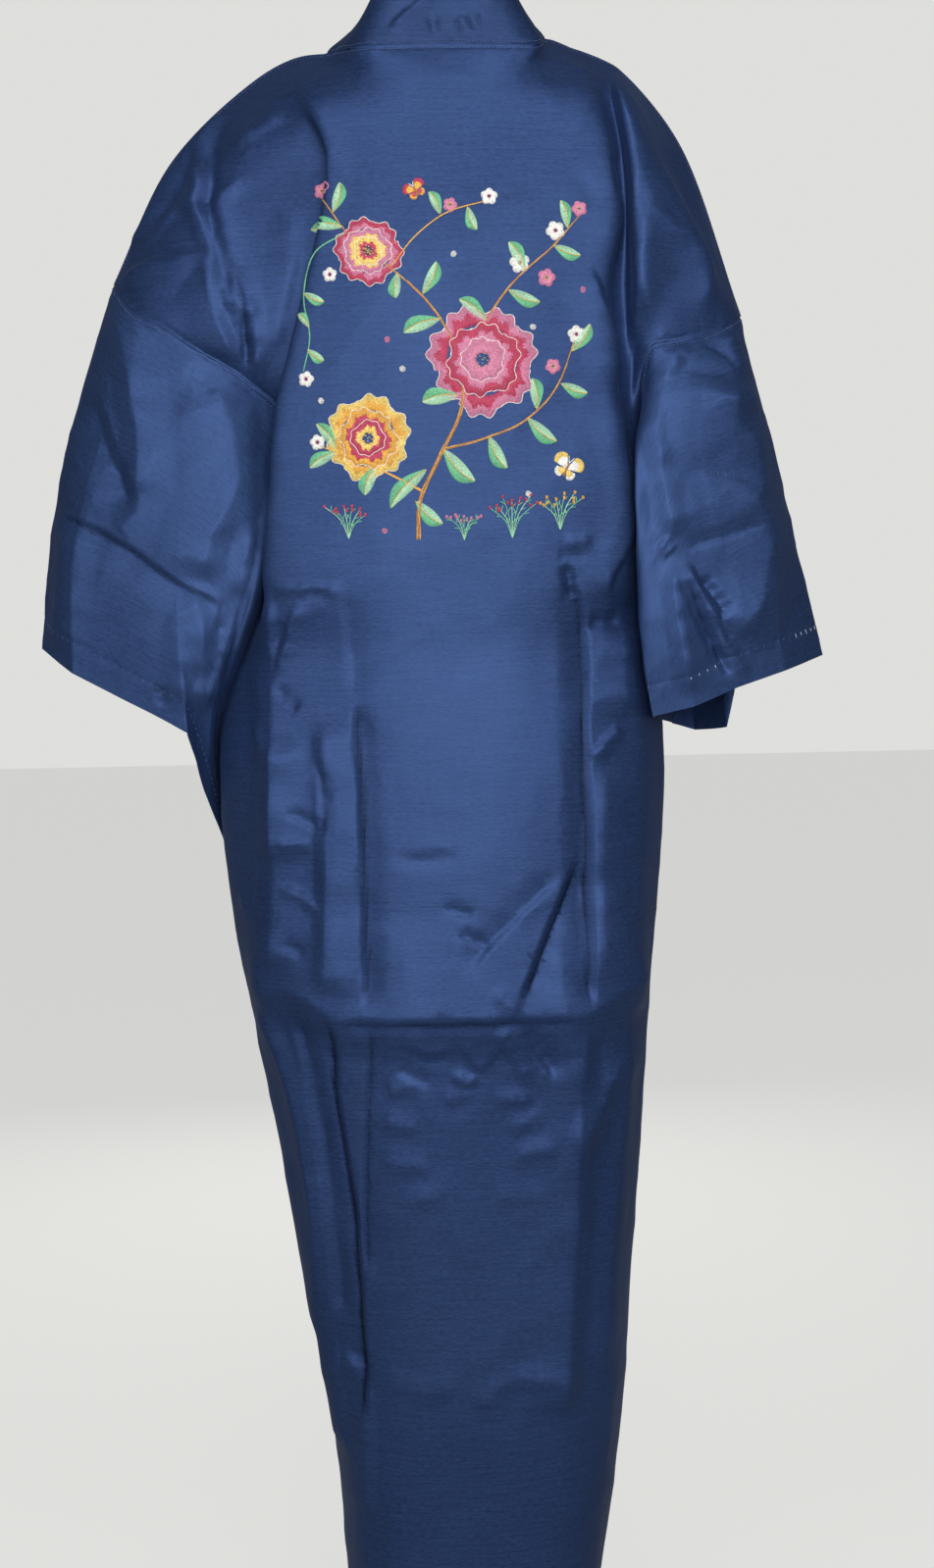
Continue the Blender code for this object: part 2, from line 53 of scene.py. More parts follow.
CAMERA_PITCH = 5.0
CAMERA_ROLL = 1.2

FLOOR_HEIGHT = -1.52
FLOOR_HALF = 12.0
LIGHTS = (
    # name, place, target, width and height, watts, colour
    ("key", (-0.12, 2.05, -0.30), (0.0, 0.0, -0.80), (1.0, 0.8), 22, (1.0, 0.99, 0.97)),
    ("top", (0.1, 1.3, 1.1), (0.0, 0.0, -0.20), (1.2, 0.7), 14, (1.0, 1.0, 1.0)),
    ("left", (1.2, 1.7, -0.3), (0.28, 0.0, -0.45), (0.8, 0.8), 10, (1.0, 0.99, 0.98)),
    ("right", (-1.1, 1.6, 0.25), (-0.24, 0.0, -0.30), (0.8, 0.8), 9, (1.0, 0.99, 0.98)),
    ("front", (0.2, -2.5, -0.1), (0.0, 0.0, -0.6), (1.4, 1.4), 26, (1.0, 0.99, 0.98)),
)

# Cloth, in millimetres
SHELL = 0.6             # thickness of the cloth
HEM_SHELL = 1.5         # thickness where a hem is turned in
HEM_DEPTH = 27.0        # a turned hem
BAND_SHELL = 1.8        # the collar band, cloth folded double
SEAM_DIP = 1.6          # how far the cloth sinks into a seam
SEAM_REACH = 2.6        # and how far from it
SEAM_CALM = 14.0        # creases and waves sink away this close to a seam
PUCKER_DEPTH = 0.75     # of the short wrinkles beside a seam
PUCKER_REACH = 13.0
PUCKER_SIZE = 9.0       # one wrinkle's width
PUCKER_END = 30.0       # no wrinkles further than this from the seam
SEAM_LINE = 2.0         # the cloth stays put this close to a seam, so that two pieces meet
HEM_DIP = 0.35          # of the line where a turned hem ends
HEM_DIP_REACH = 1.8
SWELL = 0.5             # height of the cloth's broad waves
SWELL_SIZE = (52, 120)  # their width and their height on the cloth
FACET = 0.8             # height of the sharp-edged facets over them
FACET_SIZE = (60, 95)
FACET_SLANT = (0.4, 0.3)  # how far the facets lean out of the upright and out of the level
FINE_FACET = 0.35       # height of the smaller facets among those
FINENESS = 2.3          # how much smaller they are
FACET_NARROWING = 2.6   # how quickly a facet falls away from its ridge
FACET_CURVE = 1.6       # 1 is a straight side
CREST_ROUNDING = 1.6    # of a crease's sharp line
CREASE_FADE = 24.0      # how far from its end a long crease starts to sink
FADE_SHARE = 0.25       # and how far a short one does, as a share of its length
CREASE_WAVER = 0.5      # how far a crease's line wanders
HEIGHT_WAVER = 0.15     # how much its height does, as a share
WAVER_TURNS = (9, 23)   # two waves along a crease, in radians from end to end, make the waver
CREASE_MARGIN = 3.0     # how far past its flanks a crease's points are looked for
CREASE_STEPS = 6        # between two of its points
FLANK_CURVE = 1.2       # 1 is a straight flank
TURN_FADE = 2.2         # how fast creases grow as the cloth turns toward their side
TIGHT_DEPTH = 2.4       # a trough this deep and long, with a flank this narrow, is a tight fold, with painted shade along its bottom
TIGHT_LENGTH = 80.0
TIGHT_REACH = 5.0
FOLD_SHADE_WIDTH = 1.5       # width of the painted shade line along it
FULL_SHADE_DEPTH = 5.0        # depth of a fold whose painted shade is as dark as it gets
BAND_WIDTH = 58.0       # finished width of the collar band
LAP_CLEARANCE = 5.5     # the right front lies this far under the left one
LAP_SHARE = 0.45        # how far over the middle each front reaches, as a share of the half width
SQUARENESS = 2.5        # 2 is an ellipse; the body's sections are a little squarer

MM = 0.001

# Below the underarm the back's columns lie at these shares of the way out to a crease, then degrees past it
LEFT_SHARES = (0.42, 0.75, 1.0, 1.09)
RIGHT_SHARES = (0.5, 0.85, 1.0)
RIGHT_TUCKS = (8, 16, 26)
FRONT_SHARES = (0.2, 0.45, 0.72, 1.0)  # and the fronts' at these shares of the angle from seam to front edge

# Steps between one named column and the next, from the middle of the back out to the left and right edges
LEFT_STEPS = (28, 24, 20, 20, 36, 28)
RIGHT_STEPS = (28, 24, 16, 12, 10, 14, 24, 24)
RIGHT_FRONT_STEPS = (24, 34, 22, 20)
# Steps between one row and the next, above the underarm and below it
UPPER_STEPS = (28,) * 8
LOWER_STEPS = (24, 28, 36, 40, 44, 44, 52, 60, 68)
SLEEVE_STEPS = (44, 56, 56, 56)
SLEEVE_RING_STEPS = (56, 56, 56, 28, 28, 56, 56, 56, 56)
BAND_ACROSS = 28
# A face covers up to so many steps each way where the cloth is flat, and one where it bends
WIDEST_FACE = 4
TOLERANCES = 0.03 * 1.15 ** np.arange(30)  # how far a wide face may stray from the cloth, tried in turn
SHARP_ANGLE = 65.0      # degrees at which an edge of the cloth shows
TRIANGLE_LIMIT = {
    "back_panel": 192000, "front_left": 100000, "front_right": 100000,
    "sleeve_left": 110000, "sleeve_right": 110000, "collar_band": 60000,
}

# Shoulders to underarm. A row runs across the whole back: the middle (its depth and height), then each side's
# neck corner, neck side, crest of the deep fold, cloth tucked under it, outer shoulder and armhole seam. Each
# place is (x, depth towards the back, height).
MIDDLE_UPPER = (
    # depth, height
    (75, 0), (91, -46), (102, -98), (109, -150), (110, -205),
    (108, -262), (105, -320), (101, -385), (98, -450),
)
LEFT_UPPER = (
    # neck corner      neck side         crest             tucked under      outer shoulder     armhole seam
    ((66, 73, 0), (98, 22, 6), (126, 6, 6), (160, 3, -11), (234, 0, -78), (287, 0, -180)),
    ((48, 90, -46), (88, 82, -40), (110, 80, -44), (118, 74, -54), (216, 46, -116), (280, 24, -190)),
    ((42, 102, -97), (72, 101, -94), (95, 99, -92), (92, 82, -96), (205, 64, -156), (262, 50, -211)),
    ((44, 109, -149), (76, 107, -146), (100, 102, -142), (95, 84, -146), (190, 72, -190), (243, 60, -222)),
    ((50, 110, -203), (84, 107, -198), (113, 99, -190), (106, 80, -196), (172, 74, -226), (212, 66, -243)),
    ((56, 108, -259), (96, 104, -252), (128, 95, -242), (119, 74, -248), (148, 66, -260), (172, 60, -268)),
    ((62, 105, -317), (106, 101, -309), (143, 91, -298), (131, 72, -304), (129, 56, -304), (134, 44, -308)),
    ((66, 101, -382), (112, 98, -376), (151, 86, -368), (139, 67, -372), (140, 53, -376), (146, 40, -382)),
    ((68, 98, -449), (116, 95, -446), (157, 80, -440), (147, 62, -444), (153, 34, -448), (161, 0, -450)),
)
RIGHT_UPPER = (
    # neck corner, neck side, the body's fold edge, inner side of the recess,
    # outer side of the recess, crest of the sleeve's fold, outer shoulder, armhole seam
    ((-80, 72, -1), (-91, 24, 14), (-112, 8, 10), (-122, 6, 7),
     (-140, 4, 0), (-154, 2, -8), (-204, 0, -70), (-256, 0, -218)),
    ((-50, 90, -46), (-100, 82, -42), (-126, 74, -41), (-136, 62, -41),
     (-142, 60, -42), (-150, 74, -43), (-194, 46, -106), (-250, 28, -222)),
    ((-50, 102, -97), (-104, 95, -95), (-138, 88, -92), (-146, 70, -92),
     (-150, 68, -92), (-156, 86, -92), (-204, 64, -142), (-238, 48, -230)),
    ((-52, 109, -149), (-108, 100, -148), (-144, 92, -147), (-149, 68, -147),
     (-153, 66, -146), (-159, 89, -146), (-204, 69, -182), (-219, 61, -239)),
    ((-54, 110, -203), (-108, 100, -202), (-134, 92, -201), (-140, 66, -201),
     (-152, 62, -200), (-160, 88, -200), (-180, 80, -212), (-196, 71, -245)),
    ((-58, 108, -259), (-110, 99, -258), (-138, 90, -257), (-144, 68, -256),
     (-152, 60, -255), (-158, 60, -254), (-165, 68, -252), (-172, 75, -251)),
    ((-60, 105, -317), (-112, 98, -316), (-140, 89, -315), (-146, 72, -314),
     (-150, 64, -313), (-154, 60, -312), (-159, 56, -310), (-165, 50, -304)),
    ((-62, 101, -382), (-116, 94, -381), (-147, 84, -380), (-152, 72, -379),
     (-155, 64, -378), (-158, 58, -377), (-162, 50, -376), (-167, 42, -375)),
    ((-64, 98, -449), (-112, 90, -449), (-140, 79, -449), (-152, 66, -449),
     (-158, 54, -450), (-163, 42, -450), (-167, 24, -450), (-170, 4, -450)),
)

# Underarm to hem, one row for each section of the body
BODY_SECTIONS = (
    # height, left half width, right half width, back depth, front depth, crease left, crease right, seam turn
    (-500, 188, 174, 97, 99, 152, 104, 2),
    (-560, 203, 181, 101, 101, 151, 110, 3),
    (-635, 206, 182, 108, 105, 152, 112, 4),
    (-715, 200, 176, 113, 107, 155, 111, 5),
    (-800, 187, 168, 112, 106, 158, 108, 6),
    (-900, 168, 160, 107, 103, 140, 103, 8),
    (-1040, 147, 149, 103, 100, 120, 98, 10),
    (-1200, 121, 136, 99, 97, 98, 90, 12),
    (-1375, 110, 109, 96, 94, 86, 78, 14),
)

# Front of the shoulders and chest: a row beside each row of the back but its first, the shoulder line itself
LEFT_CHEST = (
    # armhole seam, outer shoulder, chest,
    # side of the neck, front edge, free edge of the collar band
    ((281, -22, -190), (232, -38, -110), (176, -52, -68),
     (130, -46, -36), (93, -26, -30), (58, -46, 6)),
    ((266, -46, -208), (222, -62, -152), (172, -78, -118),
     (124, -76, -94), (78, -62, -84), (34, -76, -56)),
    ((246, -60, -222), (212, -76, -190), (166, -92, -168),
     (114, -96, -152), (58, -91, -144), (8, -95, -118)),
    ((215, -72, -240), (192, -84, -228), (152, -101, -216),
     (100, -107, -208), (34, -107, -206), (-20, -108, -184)),
    ((187, -74, -268), (170, -86, -270), (136, -104, -266),
     (82, -111, -266), (12, -112, -268), (-43, -111, -250)),
    ((170, -66, -314), (158, -82, -322), (122, -102, -322),
     (66, -109, -324), (-10, -111, -328), (-65, -108, -312)),
    ((164, -46, -384), (158, -70, -384), (118, -96, -385),
     (54, -106, -388), (-32, -107, -392), (-87, -101, -380)),
    ((161, 0, -450), (160, -44, -450), (126, -84, -450),
     (46, -101, -452), (-52, -101, -455), (-106, -90, -447)),
)
RIGHT_CHEST = (
    ((-250, -24, -226), (-208, -38, -116), (-164, -50, -76),
     (-124, -44, -38), (-90, -24, -24), (-60, -44, 12)),
    ((-240, -46, -236), (-204, -60, -160), (-162, -74, -126),
     (-118, -72, -96), (-77, -58, -82), (-34, -70, -56)),
    ((-222, -60, -246), (-198, -72, -200), (-156, -88, -174),
     (-108, -91, -154), (-58, -86, -144), (-8, -88, -119)),
    ((-200, -70, -256), (-186, -80, -238), (-144, -95, -222),
     (-94, -100, -210), (-34, -101, -206), (20, -101, -186)),
    ((-184, -72, -280), (-170, -80, -278), (-130, -96, -268),
     (-76, -102, -267), (-12, -104, -268), (43, -103, -251)),
    ((-177, -62, -320), (-164, -76, -322), (-120, -93, -323),
     (-60, -100, -325), (10, -103, -328), (65, -101, -312)),
    ((-174, -42, -384), (-164, -62, -384), (-120, -87, -386),
     (-50, -98, -389), (32, -99, -392), (87, -94, -381)),
    ((-170, 4, -450), (-166, -40, -450), (-126, -76, -450),
     (-44, -94, -452), (52, -94, -455), (106, -83, -447)),
)

# The collar band's free edge round the back of the neck, the wearer's right to left
BAND_NECK_EDGE = ((-62, 10, 50), (-57, 58, 52), (0, 67, 58), (48, 61, 54), (54, 10, 45))

# Sleeves: a ring of nine places round each section below the seam
SLEEVE_FLATNESS = (0.0, 0.15, 0.45, 0.85)  # each ring's, from round at the seam to straight folds at the cuff
LEFT_SLEEVE = (
    # outer edge, back high, back middle, back low, inner fold,
    # low corner, front low, front middle, front high
    ((298, 0, -215), (280, 46, -242), (216, 70, -284), (157, 58, -348), (156, 54, -436),
     (168, -40, -458), (174, -72, -354), (212, -82, -276), (272, -54, -245)),
    ((322, 0, -286), (296, 46, -305), (224, 72, -352), (170, 66, -424), (178, 58, -486),
     (190, -56, -523), (178, -88, -455), (214, -92, -386), (280, -62, -318)),
    ((347, 2, -388), (320, 46, -409), (232, 72, -462), (202, 58, -520), (209, 24, -566),
     (197, -62, -624), (198, -92, -545), (234, -100, -478), (308, -66, -415)),
    ((360, 6, -494), (328, 42, -515), (228, 64, -567), (219, 20, -622), (208, -18, -668),
     (195, -66, -718), (196, -96, -594), (250, -100, -546), (325, -60, -506)),
)
RIGHT_SLEEVE = (
    ((-261, 0, -252), (-247, 56, -262), (-202, 80, -276), (-161, 84, -318), (-158, 80, -388),
     (-190, -14, -456), (-186, -70, -366), (-208, -80, -290), (-250, -54, -262)),
    ((-279, 0, -318), (-258, 52, -330), (-214, 80, -344), (-178, 88, -380), (-157, 81, -446),
     (-196, -52, -505), (-196, -92, -455), (-212, -94, -392), (-258, -60, -346)),
    ((-301, 2, -416), (-268, 52, -430), (-224, 74, -448), (-193, 84, -476), (-161, 79, -510),
     (-205, -86, -548), (-214, -108, -520), (-242, -98, -484), (-270, -80, -438)),
    ((-324, 4, -514), (-286, 48, -525), (-242, 64, -538), (-204, 74, -553), (-169, 72, -561),
     (-200, -104, -577), (-223, -112, -585), (-249, -80, -581), (-262, -88, -527)),
)


# Creases: (x, height) along each one, how far its flank reaches on the left and on the right of the way it
# runs, and its height, negative for a trough
BACK_CREASES = (
    # path, flank on its left, flank on its right, height
    # under the collar and the wearer's left shoulder
    (((47, -29), (-1, -28), (-37, -30)), 16, 20, 1.4),
    (((128, -51), (146, -60), (180, -78)), 20, 6, 3.5),
    (((185, -30), (199, -56), (209, -81), (205, -106), (209, -121), (198, -145), (189, -172), (182, -201),
      (179, -220)), 14, 9, 6.0),
    (((184, -60), (194, -77), (195, -98), (198, -118), (193, -144), (185, -173), (180, -207)), 7, 9, -5.0),
    (((161, -110), (173, -110), (186, -120), (185, -146), (178, -173), (171, -201), (171, -218),
      (181, -228)), 9, 12, 4.5),
    (((180, -159), (169, -196), (167, -229), (167, -264)), 5, 8, -4.0),
    (((174, -177), (164, -211), (160, -247), (160, -276)), 8, 12, 4.0),
    (((207, -66), (218, -94), (230, -113), (257, -149)), 6, 8, -3.5),
    (((198, -52), (224, -80), (244, -110), (275, -162)), 16, 8, 4.0),
    (((213, -120), (236, -133), (259, -155)), 10, 6, 2.5),
    (((282, -191), (262, -177), (236, -171), (209, -169), (199, -177), (196, -200), (184, -238),
      (172, -260)), 30, 8, 6.0),
    (((124, -121), (132, -193), (148, -258)), 20, 9, 2.5),
    # the wearer's left side of the body
    (((152, -446), (125, -446), (104, -448), (88, -447)), 10, 6, 2.4),
    (((123, -449), (100, -452)), 8, 6, -2.2),
    (((150, -449), (150, -505), (151, -553), (152, -603), (153, -680)), 24, 44, 8.0),
    (((151, -566), (154, -678), (157, -776)), 14, 24, 5.0),
    (((109, -552), (108, -603), (108, -668), (110, -792)), 12, 34, 5.5),
    (((125, -449), (137, -491), (146, -529)), 5, 14, 3.0),
    (((147, -529), (138, -542), (128, -549)), 6, 10, -2.6),
    (((149, -451), (144, -479), (148, -502)), 5, 9, -2.5),
    (((117, -588), (111, -611), (111, -660)), 4, 8, -3.0),
    (((142, -634), (126, -641), (111, -652)), 4, 8, -2.2),
    (((149, -663), (122, -659)), 8, 6, 2.0),
    (((152, -699), (130, -706), (115, -722)), 8, 5, 2.2),
    (((148, -745), (127, -756)), 5, 8, -2.0),
    (((88, -448), (84, -500), (81, -545)), 5, 14, -1.8),
    (((82, -540), (78, -600), (77, -661), (76, -735), (75, -806)), 4.5, 16, -4.4),
    (((168, -558), (160, -591)), 6, 6, 2.0),
    (((186, -703), (180, -728)), 6, 6, 2.0),
    # the middle
    (((56, -672), (29, -676), (-4, -672)), 6, 8, -1.4),
    (((13, -715), (-14, -724)), 4, 9, -1.6),
    (((1, -737), (-28, -750)), 4, 9, -2.0),
    (((-3, -773), (-27, -745), (-90, -686)), 4, 16, -2.0),
    (((-106, -676), (-87, -718), (-50, -804)), 5, 34, -5.0),
    (((-27, -784), (-51, -807)), 8, 7, 1.6),
    # the wearer's right side of the body
    (((-143, -91), (-145, -108), (-149, -133)), 4, 8, -2.6),
    (((-114, -110), (-124, -140)), 6, 14, -1.4),
    (((-117, -182), (-129, -215), (-140, -250), (-143, -286)), 30, 4, 4.0),
    (((-143, -292), (-143, -321), (-152, -360), (-154, -390), (-144, -420), (-131, -446),
      (-130, -466)), 22, 5, 4.0),
    (((-97, -430), (-103, -461)), 8, 5, -4.5),
    (((-95, -443), (-107, -469), (-109, -525), (-109, -583), (-109, -665), (-106, -808)), 20, 5, -5.0),
    (((-113, -482), (-144, -479)), 5, 12, -3.2),
    (((-143, -480), (-143, -527), (-142, -566)), 34, 26, 6.5),
    (((-142, -566), (-128, -581), (-114, -596)), 5, 10, 3.0),
    (((-126, -600), (-122, -682), (-118, -790)), 16, 44, 5.0),
    (((-89, -423), (-113, -426)), 5, 10, -1.8),
    (((-96, -414), (-119, -410)), 8, 8, 1.6),
    # the fold across the seat and what hangs from it
    (((187, -793), (155, -789), (141, -786), (111, -802), (103, -809), (7, -810), (-100, -810), (-131, -793),
      (-159, -785), (-171, -785)), 34, 90, 11.0),
    (((108, -813), (8, -814), (-104, -814)), 9, 5, -2.6),
    (((110, -807), (108, -884), (96, -983), (92, -1088), (90, -1169)), 22, 5, -5.5),
    (((74, -814), (78, -874), (83, -956), (84, -1040)), 4, 20, -3.4),
    (((174, -806), (152, -858), (132, -966), (126, -1090), (112, -1209)), 12, 12, 6.0),
    (((140, -803), (130, -860), (120, -930), (113, -1002), (110, -1080)), 6, 12, -4.5),
    (((180, -821), (158, -930), (141, -1030), (134, -1110)), 9, 12, 4.5),
    (((117, -1104), (93, -1133), (90, -1261)), 34, 8, 4.0),
    (((-104, -820), (-101, -867), (-96, -931), (-92, -1022), (-80, -1169)), 40, 16, 7.0),
    (((-140, -846), (-119, -887), (-98, -938)), 18, 18, 6.5),
    (((-146, -840), (-129, -1003), (-118, -1134)), 12, 12, 3.0),
    (((-50, -814), (-66, -839), (-83, -868)), 5, 14, -3.4),
    (((-28, -816), (-47, -846), (-60, -872)), 8, 12, 2.6),
    (((48, -826), (26, -838), (4, -832)), 6, 12, 1.9),
    (((0, -826), (-16, -850), (-34, -824)), 7, 9, 2.2),
    (((9, -856), (-5, -865), (-14, -858)), 6, 7, 2.2),
    (((64, -874), (38, -866)), 8, 12, 1.8),
    (((18, -882), (-14, -874)), 7, 12, 1.5),
    (((70, -898), (36, -905)), 9, 12, 1.7),
    (((56, -852), (24, -868)), 5, 10, -1.6),
    (((-26, -880), (-62, -884)), 7, 12, 1.8),
    (((-36, -906), (-70, -898)), 9, 12, 1.7),
    (((-44, -932), (-82, -924)), 9, 14, 1.8),
    (((74, -934), (24, -940)), 9, 14, 1.5),
    (((58, -968), (12, -964)), 10, 14, 1.1),
    (((-24, -968), (-76, -964)), 10, 14, 1.0),
    (((82, -1130), (36, -1137), (2, -1134)), 8, 16, 1.6),
    (((4, -1142), (-16, -1146), (-30, -1131), (-66, -1131), (-100, -1137)), 8, 16, 2.0),
    # the wearer's right shoulder
    (((-89, -10), (-117, -19), (-142, -33)), 6, 8, 1.6),
    (((-151, -43), (-156, -73), (-161, -103), (-161, -125)), 6, 16, 2.5),
    (((-162, -129), (-171, -129), (-187, -144), (-204, -158), (-217, -177), (-220, -197), (-213, -214),
      (-204, -232)), 24, 14, 3.5),
    (((-172, -130), (-188, -140), (-203, -155)), 6, 12, -2.0),
    (((-162, -134), (-165, -155), (-164, -190), (-169, -215), (-179, -237)), 6, 14, 2.5),
    (((-199, -66), (-208, -102), (-224, -156), (-235, -196)), 14, 14, 3.0),
)
LEFT_SLEEVE_CREASES = (
    (((281, -202), (269, -243), (264, -289), (260, -311), (262, -373)), 18, 30, 6.0),
    (((262, -361), (264, -379), (284, -396)), 10, 20, 2.0),
    (((310, -272), (293, -324), (278, -357), (270, -382)), 26, 12, -6.5),
    (((339, -374), (330, -399), (334, -438), (347, -500)), 14, 30, 5.0),
    (((319, -276), (328, -317), (339, -374)), 10, 20, 2.5),
    (((339, -376), (302, -394), (258, -422), (231, -442), (189, -464)), 22, 4, -3.0),
    (((199, -268), (188, -297), (182, -318), (181, -362), (200, -397), (214, -442)), 46, 26, 5.5),
    (((222, -262), (206, -272), (196, -284)), 8, 16, -1.6),
    (((166, -386), (174, -420), (180, -456)), 12, 14, 2.6),
    (((231, -442), (215, -459), (212, -488), (216, -525), (223, -553)), 34, 18, 5.0),
    (((184, -468), (197, -507), (219, -553)), 14, 6, 3.0),
    (((198, -465), (200, -495), (210, -528)), 12, 12, -2.0),
    (((250, -527), (248, -545)), 6, 6, -1.6),
)
RIGHT_SLEEVE_CREASES = (
    (((-179, -244), (-197, -251), (-193, -259), (-183, -277), (-180, -289)), 12, 9, 3.5),
    (((-211, -245), (-230, -254), (-249, -271)), 4, 9, -2.0),
    (((-243, -234), (-240, -250), (-250, -272)), 10, 12, 3.0),
    (((-185, -273), (-174, -323), (-178, -352), (-183, -384), (-187, -415)), 14, 30, 5.0),
    (((-241, -273), (-238, -312), (-253, -330), (-259, -368), (-253, -380), (-267, -400), (-265, -433),
      (-260, -463), (-245, -485), (-236, -500)), 56, 34, 11.0),
    (((-185, -426), (-188, -461), (-194, -502), (-200, -546)), 12, 22, 5.0),
    (((-192, -426), (-211, -461), (-227, -494), (-236, -514)), 10, 5, 4.0),
    (((-196, -443), (-215, -488), (-234, -527)), 8, 4, -3.5),
    (((-207, -443), (-224, -464), (-232, -480)), 4, 8, -4.0),
    (((-191, -422), (-224, -411), (-263, -399)), 4, 10, -1.8),
    (((-175, -412), (-186, -424)), 9, 9, 2.0),
    (((-228, -492), (-239, -512), (-250, -529)), 9, 9, 2.0),
    (((-223, -499), (-234, -529)), 4, 6, -2.0),
)
COLLAR_CREASES = (
    (((44, 7), (34, 18), (16, 34), (4, 46)), 12, 4, 2.6),
    (((7, 26), (3, 5)), 4, 6, -2.0),
    (((-16, 24), (-24, 6)), 5, 5, 1.8),
    (((-26, 26), (-33, 8)), 4, 5, -1.6),
)
# The hidden sides, on the same plan
LEFT_FRONT_CREASES = (
    (((150, -90), (120, -170), (60, -260), (10, -330)), 20, 18, 3.6),
    (((196, -150), (172, -240), (150, -320), (146, -420)), 18, 18, -4.2),
    (((178, -300), (120, -345), (60, -372), (-10, -384)), 18, 24, 3.9),
    (((150, -446), (104, -458), (62, -452)), 12, 12, 2.5),
    (((164, -470), (156, -560), (158, -690), (166, -780)), 18, 32, 4.2),
    (((84, -500), (78, -620), (80, -790)), 20, 14, -3.4),
    (((-20, -540), (-26, -660), (-22, -798)), 18, 18, 3.1),
    (((176, -788), (90, -806), (0, -812), (-70, -806)), 18, 64, 7.0),
    (((98, -824), (92, -960), (78, -1120), (64, -1310)), 24, 18, 3.4),
    (((10, -830), (4, -980), (-4, -1160)), 18, 18, -2.8),
    (((70, -690), (34, -752), (0, -800)), 16, 16, -2.8),
)
RIGHT_FRONT_CREASES = (
    (((-150, -90), (-124, -170), (-70, -262), (-20, -336)), 18, 20, 3.6),
    (((-190, -150), (-172, -240), (-156, -320), (-150, -420)), 18, 18, -4.2),
    (((-172, -300), (-118, -340), (-60, -366)), 24, 18, 3.6),
    (((-150, -470), (-142, -580), (-144, -700), (-148, -780)), 28, 18, 3.9),
    (((-96, -520), (-92, -640), (-98, -790)), 16, 16, -3.1),
    (((-160, -790), (-90, -806), (-20, -812)), 64, 18, 7.0),
    (((-104, -824), (-96, -960), (-86, -1120), (-74, -1310)), 18, 24, 3.4),
    (((-60, -700), (-84, -760), (-110, -796)), 16, 16, -2.5),
)
LEFT_SLEEVE_FRONT_CREASES = (
    (((338, -380), (300, -396), (256, -420), (222, -440)), 14, 24, 4.2),
    (((250, -250), (246, -330), (262, -420), (290, -500)), 20, 20, -4.2),
    (((206, -290), (218, -380), (236, -470), (246, -560)), 18, 18, 3.6),
    (((300, -250), (306, -330), (326, -430)), 18, 18, 2.8),
)
RIGHT_SLEEVE_FRONT_CREASES = (
    (((-250, -270), (-232, -340), (-222, -430), (-230, -520)), 18, 18, -3.9),
    (((-276, -330), (-270, -400), (-286, -480)), 18, 18, 3.4),
    (((-300, -430), (-262, -452), (-226, -470)), 14, 22, 3.6),
)

# Embroidery: a spray of flowers of our own, as wide and high as the worked area. Places are (x, height) in
# millimetres.
THREAD_COLOURS = {
    "pink": (0.64, 0.22, 0.36),
    "rose": (0.52, 0.04, 0.11),
    "gold": (0.80, 0.42, 0.06),
    "yellow": (0.86, 0.62, 0.16),
    "white": (0.82, 0.82, 0.78),
    "mint": (0.16, 0.52, 0.28),
    "pale_mint": (0.42, 0.70, 0.48),
    "tan": (0.42, 0.19, 0.06),
}
THREAD_PITCH = 0.80     # between neighbouring threads of a filled shape
THREAD_WIDTH = 0.72
THREAD_SINK = 0.25      # how far a stitch's ends go down into the cloth
STITCH_TURN = 0.12      # the share of its length in which it rises and sinks
PEONY_RINGS = ((0.62, 1.0), (0.34, 0.70), (0.12, 0.42))  # of petals, from and to, as shares of the radius
RING_TURN = 31          # degrees from one ring's first petal to the next one's
RING_RISE = 0.3         # each ring lies so far above the one outside it
PETAL_OVERLAP = 1.06    # a petal's width, as a share of its place in the ring
PETAL_ROUNDING = 0.16   # how far a petal's corners fall back, as a share of its reach
PETAL_SCALLOP = 0.045   # and how deep its edge is waved
PETAL_WAVES = 9.0       # radians of wave on each half of the edge
PETAL_SPLIT = (0.30, 0.52)  # its outer colour reaches in from the edge by a share of its length between these
HEART_KNOTS = 14
HEART_SHARE = 0.176     # the heart's size, as a share of the radius
GOLDEN_ANGLE = 137.5    # degrees from one knot to the next
VEIN_BEND = 0.10        # how far a leaf's vein bends, as a share of its length
LEAF_SLANT = 0.9        # how far its threads slant forward, as a share of their width
STEM_ROW = 0.9          # the width of one row of stitches along a branch
STEM_STITCH = 3.6       # one stitch along it
STEM_STEP = 2.1         # from one to the next, so that they overlap
STEM_END = 2.6          # the last one starts further than this from the tip
STEM_SLANT = 0.18       # how far each crosses over
PEONIES = (
    # centre, radius, turn in degrees, petals of each ring, their colours from the outside in
    ((-30, -262), 44, 12, (7, 6, 5), ("pink", "rose", "pink")),
    ((66, -324), 35, 40, (6, 6, 4), ("yellow", "gold", "rose")),
    ((62, -172), 28, 75, (6, 5, 4), ("rose", "pink", "yellow")),
)
BRANCHES = (
    # path, width at its start and at its end, colour
    (((26, -408), (24, -376), (6, -338), (-12, -300), (-10, -256), (14, -214), (44, -186), (76, -160),
      (100, -126)), 4.2, 1.6, "tan"),
    (((4, -334), (-30, -326), (-64, -312), (-90, -286), (-106, -248)), 2.8, 1.4, "tan"),
    (((22, -368), (44, -356), (72, -342), (104, -330)), 2.6, 1.4, "gold"),
    (((-11, -270), (-36, -226), (-60, -196), (-88, -172), (-112, -146)), 2.8, 1.4, "tan"),
    (((80, -157), (106, -172), (116, -206), (112, -240), (118, -268)), 1.4, 1.0, "mint"),
    (((44, -186), (22, -160), (-4, -142), (-34, -134)), 1.6, 1.0, "gold"),
)
